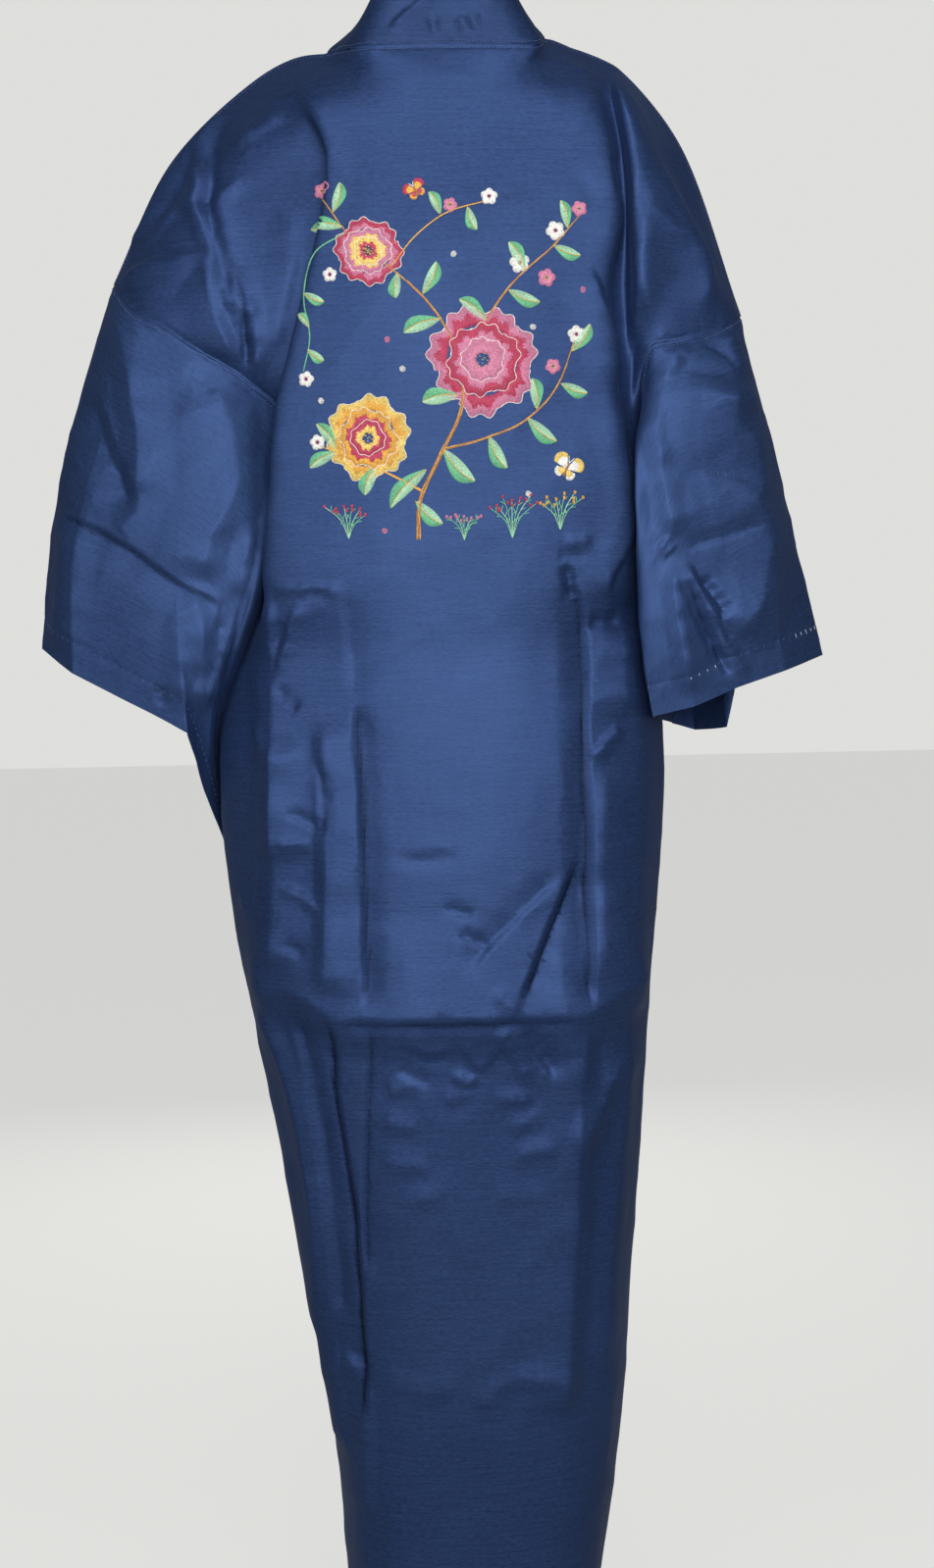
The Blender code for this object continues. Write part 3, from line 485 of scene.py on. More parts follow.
LEAVES = (
    # base, tip, width
    ((18, -350), (50, -384), 13), ((4, -334), (-24, -362), 14), ((-34, -324), (-50, -352), 12),
    ((-66, -310), (-92, -330), 12), ((-74, -303), (-70, -276), 11), ((-94, -282), (-118, -290), 10),
    ((-104, -256), (-120, -232), 10), ((28, -376), (4, -396), 12), ((60, -346), (70, -372), 12),
    ((92, -334), (116, -348), 11), ((92, -332), (110, -310), 10), ((-10, -290), (22, -296), 14),
    ((4, -228), (36, -240), 13), ((18, -208), (6, -180), 11), ((82, -152), (112, -150), 11),
    ((90, -140), (84, -114), 10), ((38, -190), (40, -212), 10), ((-34, -230), (-10, -212), 11),
    ((-52, -206), (-80, -216), 11), ((-66, -190), (-52, -166), 11), ((-90, -170), (-114, -178), 10),
    ((-102, -156), (-96, -132), 9), ((116, -204), (98, -212), 8), ((112, -232), (122, -220), 7),
    ((114, -250), (100, -260), 8), ((2, -144), (12, -124), 9), ((-20, -138), (-28, -158), 9),
)
BLOSSOMS = (
    # centre, radius, colour of its petals
    ((-62, -184), 8.5, "white"), ((-84, -196), 7.5, "pink"), ((-92, -158), 8.0, "white"),
    ((-112, -140), 6.5, "pink"), ((-38, -130), 7.0, "white"), ((-6, -136), 6.0, "pink"),
    ((100, -118), 7.0, "pink"), ((116, -274), 6.5, "white"), ((-108, -242), 7.5, "white"),
    ((-88, -268), 6.5, "pink"), ((108, -326), 6.5, "white"), ((94, -190), 6.0, "white"),
)
SPRIGS = (
    # foot, height, stems, colour of the berries
    ((-52, -408), 40, 7, "rose"), ((-92, -402), 34, 6, "gold"),
    ((84, -406), 32, 6, "rose"), ((-12, -409), 24, 5, "pink"),
)
BUTTERFLIES = (
    # centre, wing length, turn in degrees, colours of its wings
    ((-98, -352), 15, 25, ("white", "yellow")), ((22, -124), 11, -30, ("gold", "rose")),
)
FALLING_PETALS = (
    # centre, turn in degrees, colour
    ((36, -268), 30, "white"), ((48, -244), 100, "pink"), ((104, -292), 60, "white"),
    ((-72, -236), 10, "white"), ((-114, -206), 75, "pink"), ((-66, -372), 40, "white"),
    ((54, -400), 15, "pink"), ((-8, -176), 120, "white"),
)

# Rows of stitches: blind-stitch ticks across the hems and running stitches along the seams, in millimetres.
# An edge is a grid's axis, down or across, and whether it lies at that axis's end.
STITCH_ROWS = (
    # piece, edge, the share of it, distance from it, way, length, spacing, thread
    ("back_panel", (0, True), (0.0, 1.0), 26.0, "across", 1.8, 7.0, "navy"),
    ("front_left", (0, True), (0.0, 1.0), 26.0, "across", 1.8, 7.0, "navy"),
    ("front_right", (0, True), (0.0, 1.0), 26.0, "across", 1.8, 7.0, "navy"),
    ("sleeve_left", (0, True), (0.0, 1.0), 26.0, "across", 1.8, 7.0, "navy"),
    ("sleeve_right", (0, True), (0.01, 0.08), 25.0, "across", 3.4, 7.4, "pale_blue"),
    ("sleeve_right", (0, True), (0.10, 0.29), 26.0, "across", 1.8, 7.0, "navy"),
    ("sleeve_right", (0, True), (0.30, 0.38), 25.0, "across", 2.6, 7.0, "pale_blue"),
    ("sleeve_right", (0, True), (0.39, 1.0), 26.0, "across", 1.8, 7.0, "navy"),
    ("sleeve_left", (0, False), (0.0, 1.0), 5.0, "along", 2.4, 3.4, "navy"),
    ("sleeve_right", (0, False), (0.0, 1.0), 5.0, "along", 2.4, 3.4, "navy"),
    ("back_panel", (0, False), (0.0, 1.0), 4.0, "along", 2.4, 3.4, "navy"),
    ("collar_band", (0, True), (0.0, 1.0), 3.5, "along", 2.4, 3.4, "navy"),
)
STITCH_COLOURS = {"navy": (0.045, 0.085, 0.25), "pale_blue": (0.52, 0.60, 0.74)}
STITCH_WIDTH = 0.5


def curve_through(points, steps, closed=False):
    """Centripetal smooth curve through points, shape (knots, ..., 3), with steps[i] samples in interval i."""
    points = np.asarray(points, float)
    count = len(points)
    if closed:
        points = np.concatenate([points[-1:], points, points[:2]])
    else:
        points = np.concatenate([2 * points[:1] - points[1:2], points, 2 * points[-1:] - points[-2:-1]])
    samples = []
    for i in range(count if closed else count - 1):
        before, start, end, after = points[i : i + 4]
        knots = [np.zeros(start.shape[:-1] + (1,))]
        for here, there in ((before, start), (start, end), (end, after)):
            span = np.linalg.norm(there - here, axis=-1, keepdims=True)
            knots.append(knots[-1] + np.sqrt(np.maximum(span, 1e-9)))
        t0, t1, t2, t3 = knots
        slope_start = (start - before) / (t1 - t0) - (end - before) / (t2 - t0) + (end - start) / (t2 - t1)
        slope_end = (end - start) / (t2 - t1) - (after - start) / (t3 - t1) + (after - end) / (t3 - t2)
        for step in range(steps[i]):
            run = step / steps[i]
            samples.append(
                (2 * run**3 - 3 * run**2 + 1) * start
                + (run**3 - 2 * run**2 + run) * slope_start * (t2 - t1)
                + (3 * run**2 - 2 * run**3) * end
                + (run**3 - run**2) * slope_end * (t2 - t1)
            )
    if not closed:
        samples.append(points[-2])
    return np.array(samples)


def straight_through(points, steps):
    """The same samples as the closed smooth curve, along straight lines."""
    points = np.asarray(points, float)
    samples = []
    for start, end, count in zip(points, np.roll(points, -1, axis=0), steps):
        samples += [start + (end - start) * step / count for step in range(count)]
    return np.array(samples)


def section_point(section, angle):
    """A place on a body section; the angle runs from the middle of the back past the left side."""
    height, left, right, back, front = section[:5]
    sine = math.sin(math.radians(angle))
    cosine = math.cos(math.radians(angle))
    power = 2.0 / SQUARENESS
    width = left if sine > 0 else right
    depth = back if cosine > 0 else front
    across = math.copysign(abs(sine) ** power, sine) * width
    along = math.copysign(abs(cosine) ** power, cosine) * depth
    return (across, along, height)


def section_angle(section, x):
    """The angle, from the middle of the back, at which the section reaches out to x."""
    width = section[1] if x > 0 else section[2]
    share = min(abs(x) / width, 0.999)
    return math.copysign(math.degrees(math.asin(share ** (SQUARENESS / 2.0))), x)


def back_control_rows():
    """The back's named places, row by row: right edge to left edge."""
    rows = []
    for (depth, height), left, right in zip(MIDDLE_UPPER, LEFT_UPPER, RIGHT_UPPER):
        rows.append(tuple(reversed(right)) + ((0, depth, height),) + left)
    for section in BODY_SECTIONS:
        crease_left, crease_right, turn = section[5:8]
        left_angles = [section_angle(section, crease_left * share) for share in LEFT_SHARES]
        left_angles += [(left_angles[-1] + 90) / 2 + 8, 90 + turn]
        right_angles = [section_angle(section, -crease_right * share) for share in RIGHT_SHARES]
        right_angles += [right_angles[-1] - past for past in RIGHT_TUCKS] + [-84, -90 - turn]
        angles = list(reversed(right_angles)) + [0] + left_angles
        rows.append(tuple(section_point(section, angle) for angle in angles))
    return np.array(rows, float)


def angle_after(section, angle, distance):
    """The angle further round a section, away from the middle of the back, this far from the first."""
    start = np.array(section_point(section, angle))
    step = math.copysign(0.5, angle)
    while np.linalg.norm(np.array(section_point(section, angle)) - start) < distance:
        angle += step
    return angle


def front_control_rows(chest, shoulder_row, band_edge, side):
    """A front's named places, from its seam to its front edge and the band's edge. side is 1 on the left."""
    rows = [tuple(shoulder_row) + (band_edge,)]
    rows.extend(chest)
    under = 0 if side > 0 else LAP_CLEARANCE
    for section in BODY_SECTIONS:
        height, left, right, back, front, _, _, turn = section
        inner = (height, left - under, right - under, back, front - under)
        lap = LAP_SHARE * (right if side > 0 else left)
        front_angle = 180 + abs(section_angle(inner, -side * lap))
        start = 90 + turn
        angles = [start + (front_angle - start) * share for share in FRONT_SHARES]
        angles.append(angle_after(inner, angles[-1], BAND_WIDTH))
        places = [section_point(inner, side * angle) for angle in angles]
        rows.append([section_point(section, side * start)] + places)
    return np.array(rows, float)


def grid_through(control, column_steps):
    """Every row and column of a panel from its named places."""
    rows = curve_through(control, UPPER_STEPS + LOWER_STEPS)
    return np.transpose(curve_through(np.transpose(rows, (1, 0, 2)), column_steps), (1, 0, 2))


def path_distance(points, path):
    """For each (x, height): signed distance to the path, and how far along it lies, from 0 to 1."""
    path = np.array(path, float)
    legs = np.linalg.norm(np.diff(path, axis=0), axis=1)
    nearest = np.full(len(points), 1e9)
    signed = np.zeros(len(points))
    along = np.zeros(len(points))
    start_length = 0.0
    for start, end, leg in zip(path[:-1], path[1:], legs):
        direction = (end - start) / leg
        offset = points - start
        run = np.clip(offset @ direction, 0, leg)
        gap = offset - run[:, None] * direction
        distance = np.linalg.norm(gap, axis=1)
        side = np.sign(direction[0] * offset[:, 1] - direction[1] * offset[:, 0])
        closer = distance < nearest
        nearest[closer] = distance[closer]
        signed[closer] = (distance * np.where(side == 0, 1, side))[closer]
        along[closer] = ((start_length + run) / legs.sum())[closer]
        start_length += leg
    return signed, along


def unit(vectors):
    """Each vector at length 1."""
    return vectors / np.maximum(np.linalg.norm(vectors, axis=-1, keepdims=True), 1e-9)


def grid_normals(grid, closed=False):
    """Outward normals of a grid whose rows run down and whose columns run from the wearer's right to left."""
    across = np.gradient(grid, axis=1)
    if closed:
        across = (np.roll(grid, -1, axis=1) - np.roll(grid, 1, axis=1)) / 2
    down = np.gradient(grid, axis=0)
    return unit(np.cross(across, down))


def sleeve_grid(back_edge, front_edge, sections):
    """Rings from the armhole seam to the cuff, each from the outer edge by the back to the low corner."""
    rings = [np.concatenate([back_edge, front_edge[-2:0:-1]])]
    for section, flatness in zip(sections, SLEEVE_FLATNESS):
        smooth = curve_through(section, SLEEVE_RING_STEPS, closed=True)
        straight = straight_through(section, SLEEVE_RING_STEPS)
        rings.append(smooth * (1 - flatness) + straight * flatness)
    return curve_through(rings, SLEEVE_STEPS)


def edge_distance(grid, axis, from_end=False):
    """How far each point lies from the grid's first or last line, measured along its own line."""
    steps = np.linalg.norm(np.diff(grid, axis=axis), axis=2)
    pad = [(0, 0), (0, 0)]
    pad[axis] = (1, 0)
    run = np.cumsum(np.pad(steps, pad), axis=axis)
    if not from_end:
        return run
    last = run[-1:] if axis == 0 else run[:, -1:]
    return last - run


def smooth_step(value):
    """From 0 to 1 with a soft start and end."""
    value = np.clip(value, 0, 1)
    return value * value * (3 - 2 * value)


def crease_lift(grid, creases, facing):
    """How far the creases move each point out, and how much painted shade it gets from a tight fold, from 0 to
    1.
    """
    flat = grid.reshape(-1, 3)[:, [0, 2]]
    lift = np.zeros(len(flat))
    shade = np.zeros(len(flat))
    for path, reach_left, reach_right, height in creases:
        reach = max(reach_left, reach_right) + CREASE_MARGIN
        path = np.array(path, float)
        low = path.min(axis=0) - reach
        high = path.max(axis=0) + reach
        near = np.flatnonzero(np.all((flat > low) & (flat < high), axis=1))
        if not len(near):
            continue
        smooth = curve_through(path, (CREASE_STEPS,) * (len(path) - 1)) if len(path) > 2 else path
        signed, along = path_distance(flat[near], smooth)
        slow, quick = WAVER_TURNS
        waver = np.sin(along * slow + path[0, 0]) * np.sin(along * quick + path[0, 1])
        signed += CREASE_WAVER * waver
        away = np.hypot(signed, CREST_ROUNDING) - CREST_ROUNDING
        flank = np.maximum(1 - away / np.where(signed > 0, reach_left, reach_right), 0)
        length = np.linalg.norm(np.diff(smooth, axis=0), axis=1).sum()
        fade = smooth_step(np.minimum(along, 1 - along) * length / min(FADE_SHARE * length, CREASE_FADE))
        lift[near] += height * flank**FLANK_CURVE * fade * (1 + HEIGHT_WAVER * waver)
        # A tight trough also gets painted shade: a dark line in the colour along its bottom, where a real fold
        # shades itself
        narrow = min(reach_left, reach_right) <= TIGHT_REACH
        if height < -TIGHT_DEPTH and narrow and length > TIGHT_LENGTH:
            dark = min(-height / FULL_SHADE_DEPTH, 1) * np.exp(-((signed / FOLD_SHADE_WIDTH) ** 2)) * fade
            shade[near] = np.maximum(shade[near], dark)
    return lift.reshape(grid.shape[:2]) * facing, shade.reshape(grid.shape[:2]) * facing


def ripple(grid, seed):
    """Small uneven waves and the sharp-edged facets of a crisp cloth, in millimetres."""
    swell_width, swell_height = SWELL_SIZE
    width, height = FACET_SIZE
    lean, rise = FACET_SLANT
    lift = np.empty(grid.shape[:2])
    for row in range(grid.shape[0]):
        for column in range(grid.shape[1]):
            x, y, z = grid[row, column]
            broad = noise.noise(Vector((x / swell_width, y / swell_width, z / swell_height + seed)))
            slanted = Vector(((x + lean * z) / width, y / width, (z - rise * x) / height + 3 * seed))
            crumple = 1 - FACET_NARROWING * abs(noise.noise(slanted))
            fine = 1 - FACET_NARROWING * abs(noise.noise(slanted * FINENESS))
            lift[row, column] = SWELL * broad
            lift[row, column] += FACET * max(crumple, 0) ** FACET_CURVE
            lift[row, column] += FINE_FACET * max(fine, 0) ** FACET_CURVE
    return lift


def pucker(grid, distance, seed):
    """Short wrinkles square to a seam, strongest beside it."""
    lift = np.zeros(grid.shape[:2])
    for row, column in np.argwhere(distance < PUCKER_END):
        x, y, z = grid[row, column]
        away = distance[row, column]
        wave = noise.noise(Vector((x / PUCKER_SIZE + seed, y / PUCKER_SIZE, z / PUCKER_SIZE)))
        lift[row, column] = PUCKER_DEPTH * wave * math.exp(-((away / PUCKER_REACH) ** 2))
    return lift


def build_grids():
    """Every piece's grid, in millimetres, with the same form as its solid."""
    control = back_control_rows()
    back = grid_through(control, tuple(reversed(RIGHT_STEPS)) + LEFT_STEPS)
    middle = sum(RIGHT_STEPS)
    neck_left = middle + LEFT_STEPS[0] + LEFT_STEPS[1]
    neck_right = middle - RIGHT_STEPS[0] - RIGHT_STEPS[1]
    underarm = sum(UPPER_STEPS)

    left = front_control_rows(LEFT_CHEST, control[0, :9:-1], BAND_NECK_EDGE[-1], 1)
    right = front_control_rows(RIGHT_CHEST, control[0, [0, 1, 2, 5, 6]], BAND_NECK_EDGE[0], -1)
    left = grid_through(left, LEFT_STEPS[:1:-1] + (BAND_ACROSS,))
    right = grid_through(right, RIGHT_FRONT_STEPS + (BAND_ACROSS,))
    left_edge = left.shape[1] - 1 - BAND_ACROSS
    right_edge = right.shape[1] - 1 - BAND_ACROSS
    left[0, : left_edge + 1] = back[0, : neck_left - 1 : -1]
    right[0, : right_edge + 1] = back[0, : neck_right + 1]
    left[underarm:, 0] = back[underarm:, -1]
    right[underarm:, 0] = back[underarm:, 0]

    neck_edge = curve_through(BAND_NECK_EDGE, RIGHT_STEPS[1::-1] + LEFT_STEPS[:2])
    share = np.linspace(0, 1, BAND_ACROSS + 1)[:, None, None]
    neck_band = neck_edge * (1 - share) + back[0, neck_right : neck_left + 1] * share
    right_band = np.transpose(right[::-1, right_edge:][:, ::-1], (1, 0, 2))
    left_band = np.transpose(left[:, left_edge:][:, ::-1], (1, 0, 2))
    band = np.concatenate([right_band[:, :-1], neck_band, left_band[:, 1:]], axis=1)
    left = left[:, : left_edge + 1]
    right = right[:, right_edge::-1]
    left_sleeve = sleeve_grid(back[: underarm + 1, -1], left[: underarm + 1, 0], LEFT_SLEEVE)[:, ::-1]
    right_sleeve = sleeve_grid(back[: underarm + 1, 0], right[: underarm + 1, -1], RIGHT_SLEEVE)
    return {
        "back_panel": back,
        "front_left": left,
        "front_right": right,
        "sleeve_left": left_sleeve,
        "sleeve_right": right_sleeve,
        "collar_band": band,
    }


def block_bend(points, size):
    """How far the points inside each block of steps stray from the flat between its corners."""
    rows = (points.shape[0] - 1) // size * size
    columns = (points.shape[1] - 1) // size * size

    def corner(down, across):
        """That place in every block."""
        return points[down : down + rows : size, across : across + columns : size]

    worst = np.zeros((rows // size, columns // size))
    for down in range(size + 1):
        for across in range(size + 1):
            share_down = down / size
            share_across = across / size
            top = corner(0, 0) * (1 - share_across) + corner(0, size) * share_across
            bottom = corner(size, 0) * (1 - share_across) + corner(size, size) * share_across
            flat = top * (1 - share_down) + bottom * share_down
            worst = np.maximum(worst, np.linalg.norm(corner(down, across) - flat, axis=2))
    return worst


def spread(mask, size):
    """A mask with each place made a block of that size."""
    return np.repeat(np.repeat(mask, size, axis=0), size, axis=1)


def fitted_faces(points, closed, limit):
    """Faces for a grid, as rings of point numbers: wide where it is flat and small where it bends."""
    rows, columns = points.shape[:2]
    wrapped = np.concatenate([points, points[:, :1]], axis=1) if closed else points
    half = WIDEST_FACE // 2
    wide = block_bend(wrapped, WIDEST_FACE)
    middling = block_bend(wrapped, half)
    for tolerance in TOLERANCES:
        split = wide > tolerance
        inside = spread(split, 2)
        fine = inside & (middling > tolerance)
        picked = {
            WIDEST_FACE: np.argwhere(~split) * WIDEST_FACE,
            half: np.argwhere(inside & ~fine) * half,
            1: np.argwhere(spread(fine, half)),
        }
        used = np.zeros((rows, columns), bool)
        for size, starts in picked.items():
            for down, across in ((0, 0), (0, size), (size, 0), (size, size)):
                used[starts[:, 0] + down, (starts[:, 1] + across) % columns] = True
        if 4 * (used.sum() - rows) < limit:
            break
    rings = []
    for size, starts in picked.items():
        steps = range(size)
        walk = [(0, k) for k in steps] + [(k, size) for k in steps]
        walk += [(size, size - k) for k in steps] + [(size - k, 0) for k in steps]
        walk = np.array(walk)
        down = starts[:, :1] + walk[:, 0]
        across = (starts[:, 1:] + walk[:, 1]) % columns
        rings.append((down * columns + across, used[down, across]))
    return rings, used


def shell(name, outer, inner, shade, closed):
    """A thin closed body between two grids, with the painted shade of its tight folds and a map of its flat
    cloth.
    """
    rings, used = fitted_faces(outer, closed, TRIANGLE_LIMIT[name.removesuffix("_cloth")])
    number = np.cumsum(used.ravel()) - 1
    count = int(used.sum())
    index = np.arange(used.size).reshape(used.shape)
    corners = []
    lengths = []
    for ring, kept in rings:
        corners += [number[ring[kept]], number[ring[:, ::-1][kept[:, ::-1]]] + count]
        lengths += [kept.sum(axis=1), kept.sum(axis=1)]

    def rim(line, mask, wrap):
        """The faces that join the two grids along one line of points."""
        line = number[line[mask]]
        if wrap:
            line = np.append(line, line[0])
        quads = np.stack([line[1:], line[:-1], count + line[:-1], count + line[1:]], 1)
        corners.append(quads.ravel())
        lengths.append(np.full(len(quads), 4))

    rim(index[0], used[0], closed)
    rim(index[-1, ::-1], used[-1, ::-1], closed)
    if not closed:
        rim(index[::-1, 0], used[::-1, 0], False)
        rim(index[:, -1], used[:, -1], False)
    corners = np.concatenate(corners)
    lengths = np.concatenate(lengths)
    points = np.concatenate([outer[used], inner[used]]) * MM

    mesh = bpy.data.meshes.new(name)
    mesh.vertices.add(len(points))
    mesh.vertices.foreach_set("co", points.ravel())
    mesh.loops.add(len(corners))
    mesh.loops.foreach_set("vertex_index", corners)
    mesh.polygons.add(len(lengths))
    mesh.polygons.foreach_set("loop_start", np.cumsum(lengths) - lengths)
    mesh.polygons.foreach_set("loop_total", lengths)
    mesh.update(calc_edges=True)
    mesh.validate()

    across = edge_distance(outer, 1)
    across = (across - across[:, across.shape[1] // 2, None]) * MM
    down = edge_distance(outer, 0) * MM if closed else -outer[:, :, 2] * MM
    flat = np.stack([across[used], down[used]], 1)
    flat = np.concatenate([flat, flat])
    # The fold attribute carries the painted shade of the tight folds to the material's colour
    folds = mesh.attributes.new("fold", "FLOAT", "POINT")
    folds.data.foreach_set("value", np.tile(shade[used], 2).astype(np.float32))
    layer = mesh.uv_layers.new(name="cloth")
    layer.data.foreach_set("uv", flat[corners].ravel())
    mesh.shade_smooth()
    mesh.set_sharp_from_angle(angle=math.radians(SHARP_ANGLE))
    obj = bpy.data.objects.new(name, mesh)
    bpy.context.scene.collection.objects.link(obj)
    return obj


def dress_grid(name, grid, closed, creases, hidden_creases, seams, hems):
    """Adds creases, ripples, seams and hems; gives the outer points, the inner ones and the painted shade of
    the tight folds.
    """
    normals = grid_normals(grid, closed)
    facing = smooth_step(normals[:, :, 1] * TURN_FADE)
    hidden = smooth_step(-normals[:, :, 1] * TURN_FADE)
    lift, shade = crease_lift(grid, creases, facing)
    hidden_lift, hidden_shade = crease_lift(grid, hidden_creases, hidden)
    lift += hidden_lift + ripple(grid, 1.7 * len(name))
    edge = np.full(grid.shape[:2], np.inf)
    for axis, from_end in seams:
        edge = np.minimum(edge, edge_distance(grid, axis, from_end))
    lift *= smooth_step(edge / SEAM_CALM)
    beside = smooth_step(edge / SEAM_LINE)
    lift += pucker(grid, edge, 2.3 * len(name)) * beside
    lift -= SEAM_DIP * np.exp(-((edge / SEAM_REACH) ** 2)) * beside
    depth = np.full(grid.shape[:2], BAND_SHELL if name == "collar_band" else SHELL)
    for axis, from_end in hems:
        distance = edge_distance(grid, axis, from_end)
        depth = np.where(distance < HEM_DEPTH, HEM_SHELL, depth)
        lift -= HEM_DIP * np.exp(-(((distance - HEM_DEPTH) / HEM_DIP_REACH) ** 2))
    outer = grid + normals * lift[:, :, None]
    thick = grid_normals(outer, closed)
    return outer, outer - thick * depth[:, :, None], np.maximum(shade, hidden_shade)


ALL_ROUND = ((0, False), (1, False), (1, True))  # every edge but the lower one, as (axis, at its end)
LOWER_EDGE = ((0, True),)
UPPER_EDGE = ((0, False),)
PIECES = {
    # closed, creases, creases on the hidden side, seams, hems, flat width and length, cut area
    "back_panel": (False, BACK_CREASES, (), ALL_ROUND, LOWER_EDGE, (0.64, 1.44), 0.67),
    "front_left": (False, (), LEFT_FRONT_CREASES, ALL_ROUND, LOWER_EDGE, (0.33, 1.42), 0.346),
    "front_right": (False, (), RIGHT_FRONT_CREASES, ALL_ROUND, LOWER_EDGE, (0.33, 1.42), 0.333),
    "sleeve_left": (
        True, LEFT_SLEEVE_CREASES, LEFT_SLEEVE_FRONT_CREASES, UPPER_EDGE, LOWER_EDGE, (0.62, 0.33), 0.166,
    ),
    "sleeve_right": (
        True, RIGHT_SLEEVE_CREASES, RIGHT_SLEEVE_FRONT_CREASES, UPPER_EDGE, LOWER_EDGE, (0.56, 0.32), 0.137,
    ),
    "collar_band": (False, COLLAR_CREASES, (), LOWER_EDGE, (), (0.062, 3.06), 0.189),
}


def new_material(name):
    """A material with an empty Principled surface, its tree and that surface."""
    made = bpy.data.materials.new(name)
    made.use_nodes = True
    tree = made.node_tree
    return made, tree, tree.nodes["Principled BSDF"]


def add_node(tree, kind, **settings):
    """A node with its properties and, by socket name, its input values set."""
    node = tree.nodes.new(kind)
    for key, value in settings.items():
        if hasattr(node, key):
            setattr(node, key, value)
        else:
            node.inputs[key.replace("_", " ").title()].default_value = value
    return node


def colour_ramp(tree, value, surface, stops):
    """Colours the surface by a value; stops are (position, colour), the first two being the ramp's own."""
    ramp = tree.nodes.new("ShaderNodeValToRGB")
    elements = ramp.color_ramp.elements
    for number, (position, colour) in enumerate(stops):
        if number < 2:
            elements[number].position = position
            elements[number].color = (*colour, 1)
        else:
            elements.new(position).color = (*colour, 1)
    tree.links.new(value, ramp.inputs["Fac"])
    tree.links.new(ramp.outputs["Color"], surface.inputs["Base Color"])


def add_bump(tree, height, surface, strength, distance):
    """Fine relief, its distance in metres."""
    bump = add_node(tree, "ShaderNodeBump", strength=strength, distance=distance)
    tree.links.new(height, bump.inputs["Height"])
    tree.links.new(bump.outputs["Normal"], surface.inputs["Normal"])


def taffeta(name, deep, bright):
    """Navy taffeta: crisp plain weave with uneven weft threads, a soft tinted gloss, a cloudy dye and painted
    shade in its tight folds.
    """
    made, tree, surface = new_material(name)
    link = tree.links.new
    cloth = add_node(tree, "ShaderNodeUVMap", uv_map="cloth")

    def uneven(across, along, roughness):
        """Noise with so many waves a metre across and along the cloth."""
        mapping = add_node(tree, "ShaderNodeMapping", scale=(across, along, 1.0))
        link(cloth.outputs["UV"], mapping.inputs["Vector"])
        waves = add_node(tree, "ShaderNodeTexNoise", scale=1.0, detail=2.0, roughness=roughness)
        link(mapping.outputs["Vector"], waves.inputs["Vector"])
        return waves.outputs["Fac"]

    def mixed(share, first, second):
        """The two values mixed, with that share of the second."""
        blend = add_node(tree, "ShaderNodeMix", data_type="FLOAT")
        blend.inputs[0].default_value = share
        link(first, blend.inputs[2])
        link(second, blend.inputs[3])
        return blend.outputs[0]

    weave = uneven(190.0, 640.0, 0.6)
    slub = uneven(26.0, 420.0, 0.5)
    cloud = uneven(5.0, 3.5, 0.5)
    threads = mixed(0.35, weave, slub)
    # Painted shade: the fold attribute pulls the colour down to a near-black stop along the tight folds
    fold = add_node(tree, "ShaderNodeAttribute", attribute_name="fold")
    tone_with_fold_shade = add_node(tree, "ShaderNodeMath", operation="MULTIPLY_ADD")
    tone_with_fold_shade.inputs[1].default_value = -0.40
    link(fold.outputs["Fac"], tone_with_fold_shade.inputs[0])
    link(mixed(0.3, threads, cloud), tone_with_fold_shade.inputs[2])
    painted_fold_shade_colour = tuple(0.22 * value for value in deep)
    colour_ramp(tree, tone_with_fold_shade.outputs["Value"], surface, ((0.36, deep), (0.64, bright), (0.08, painted_fold_shade_colour)))

    rough = add_node(tree, "ShaderNodeMapRange", to_min=0.42, to_max=0.60)
    link(threads, rough.inputs["Value"])
    link(rough.outputs["Result"], surface.inputs["Roughness"])
    add_bump(tree, threads, surface, 0.6, 0.0003)

    surface.inputs["Metallic"].default_value = 0.55
    surface.inputs["Specular IOR Level"].default_value = 0.15
    surface.inputs["Sheen Weight"].default_value = 0.04
    surface.inputs["Sheen Roughness"].default_value = 0.4
    surface.inputs["Sheen Tint"].default_value = (0.35, 0.5, 1.0, 1.0)
    return made


# Darker and brighter dye, linear colour. The sleeves' pair is the body's dye a little lighter, painted light,
# and the collar band's a little darker, painted shade.
BODY_DYES = ((0.018, 0.038, 0.112), (0.034, 0.069, 0.188))
SLEEVE_DYES_PAINTED_LIGHTER = ((0.020, 0.042, 0.120), (0.038, 0.076, 0.202))
BAND_DYES_PAINTED_DARKER = ((0.014, 0.030, 0.088), (0.027, 0.056, 0.152))
CLOTH_COLOURS = {
    "back_panel": BODY_DYES, "front_left": BODY_DYES, "front_right": BODY_DYES,
    "sleeve_left": SLEEVE_DYES_PAINTED_LIGHTER, "sleeve_right": SLEEVE_DYES_PAINTED_LIGHTER, "collar_band": BAND_DYES_PAINTED_DARKER,
}


def make_cloth():
    """Each piece of cloth, on its body and in the place of its solid; returns their outer points."""
    surfaces = {}
    for name, grid in build_grids().items():
        closed, creases, hidden_creases, seams, hems, flat, area = PIECES[name]
        outer, inner, shade = dress_grid(name, grid, closed, creases, hidden_creases, seams, hems)
        piece = shell(name + "_cloth", outer, inner, shade, closed)
        piece.data.materials.append(taffeta(name + "_taffeta", *CLOTH_COLOURS[name]))
        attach(piece, "root")
        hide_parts(name)
        surfaces[name] = outer
    return surfaces


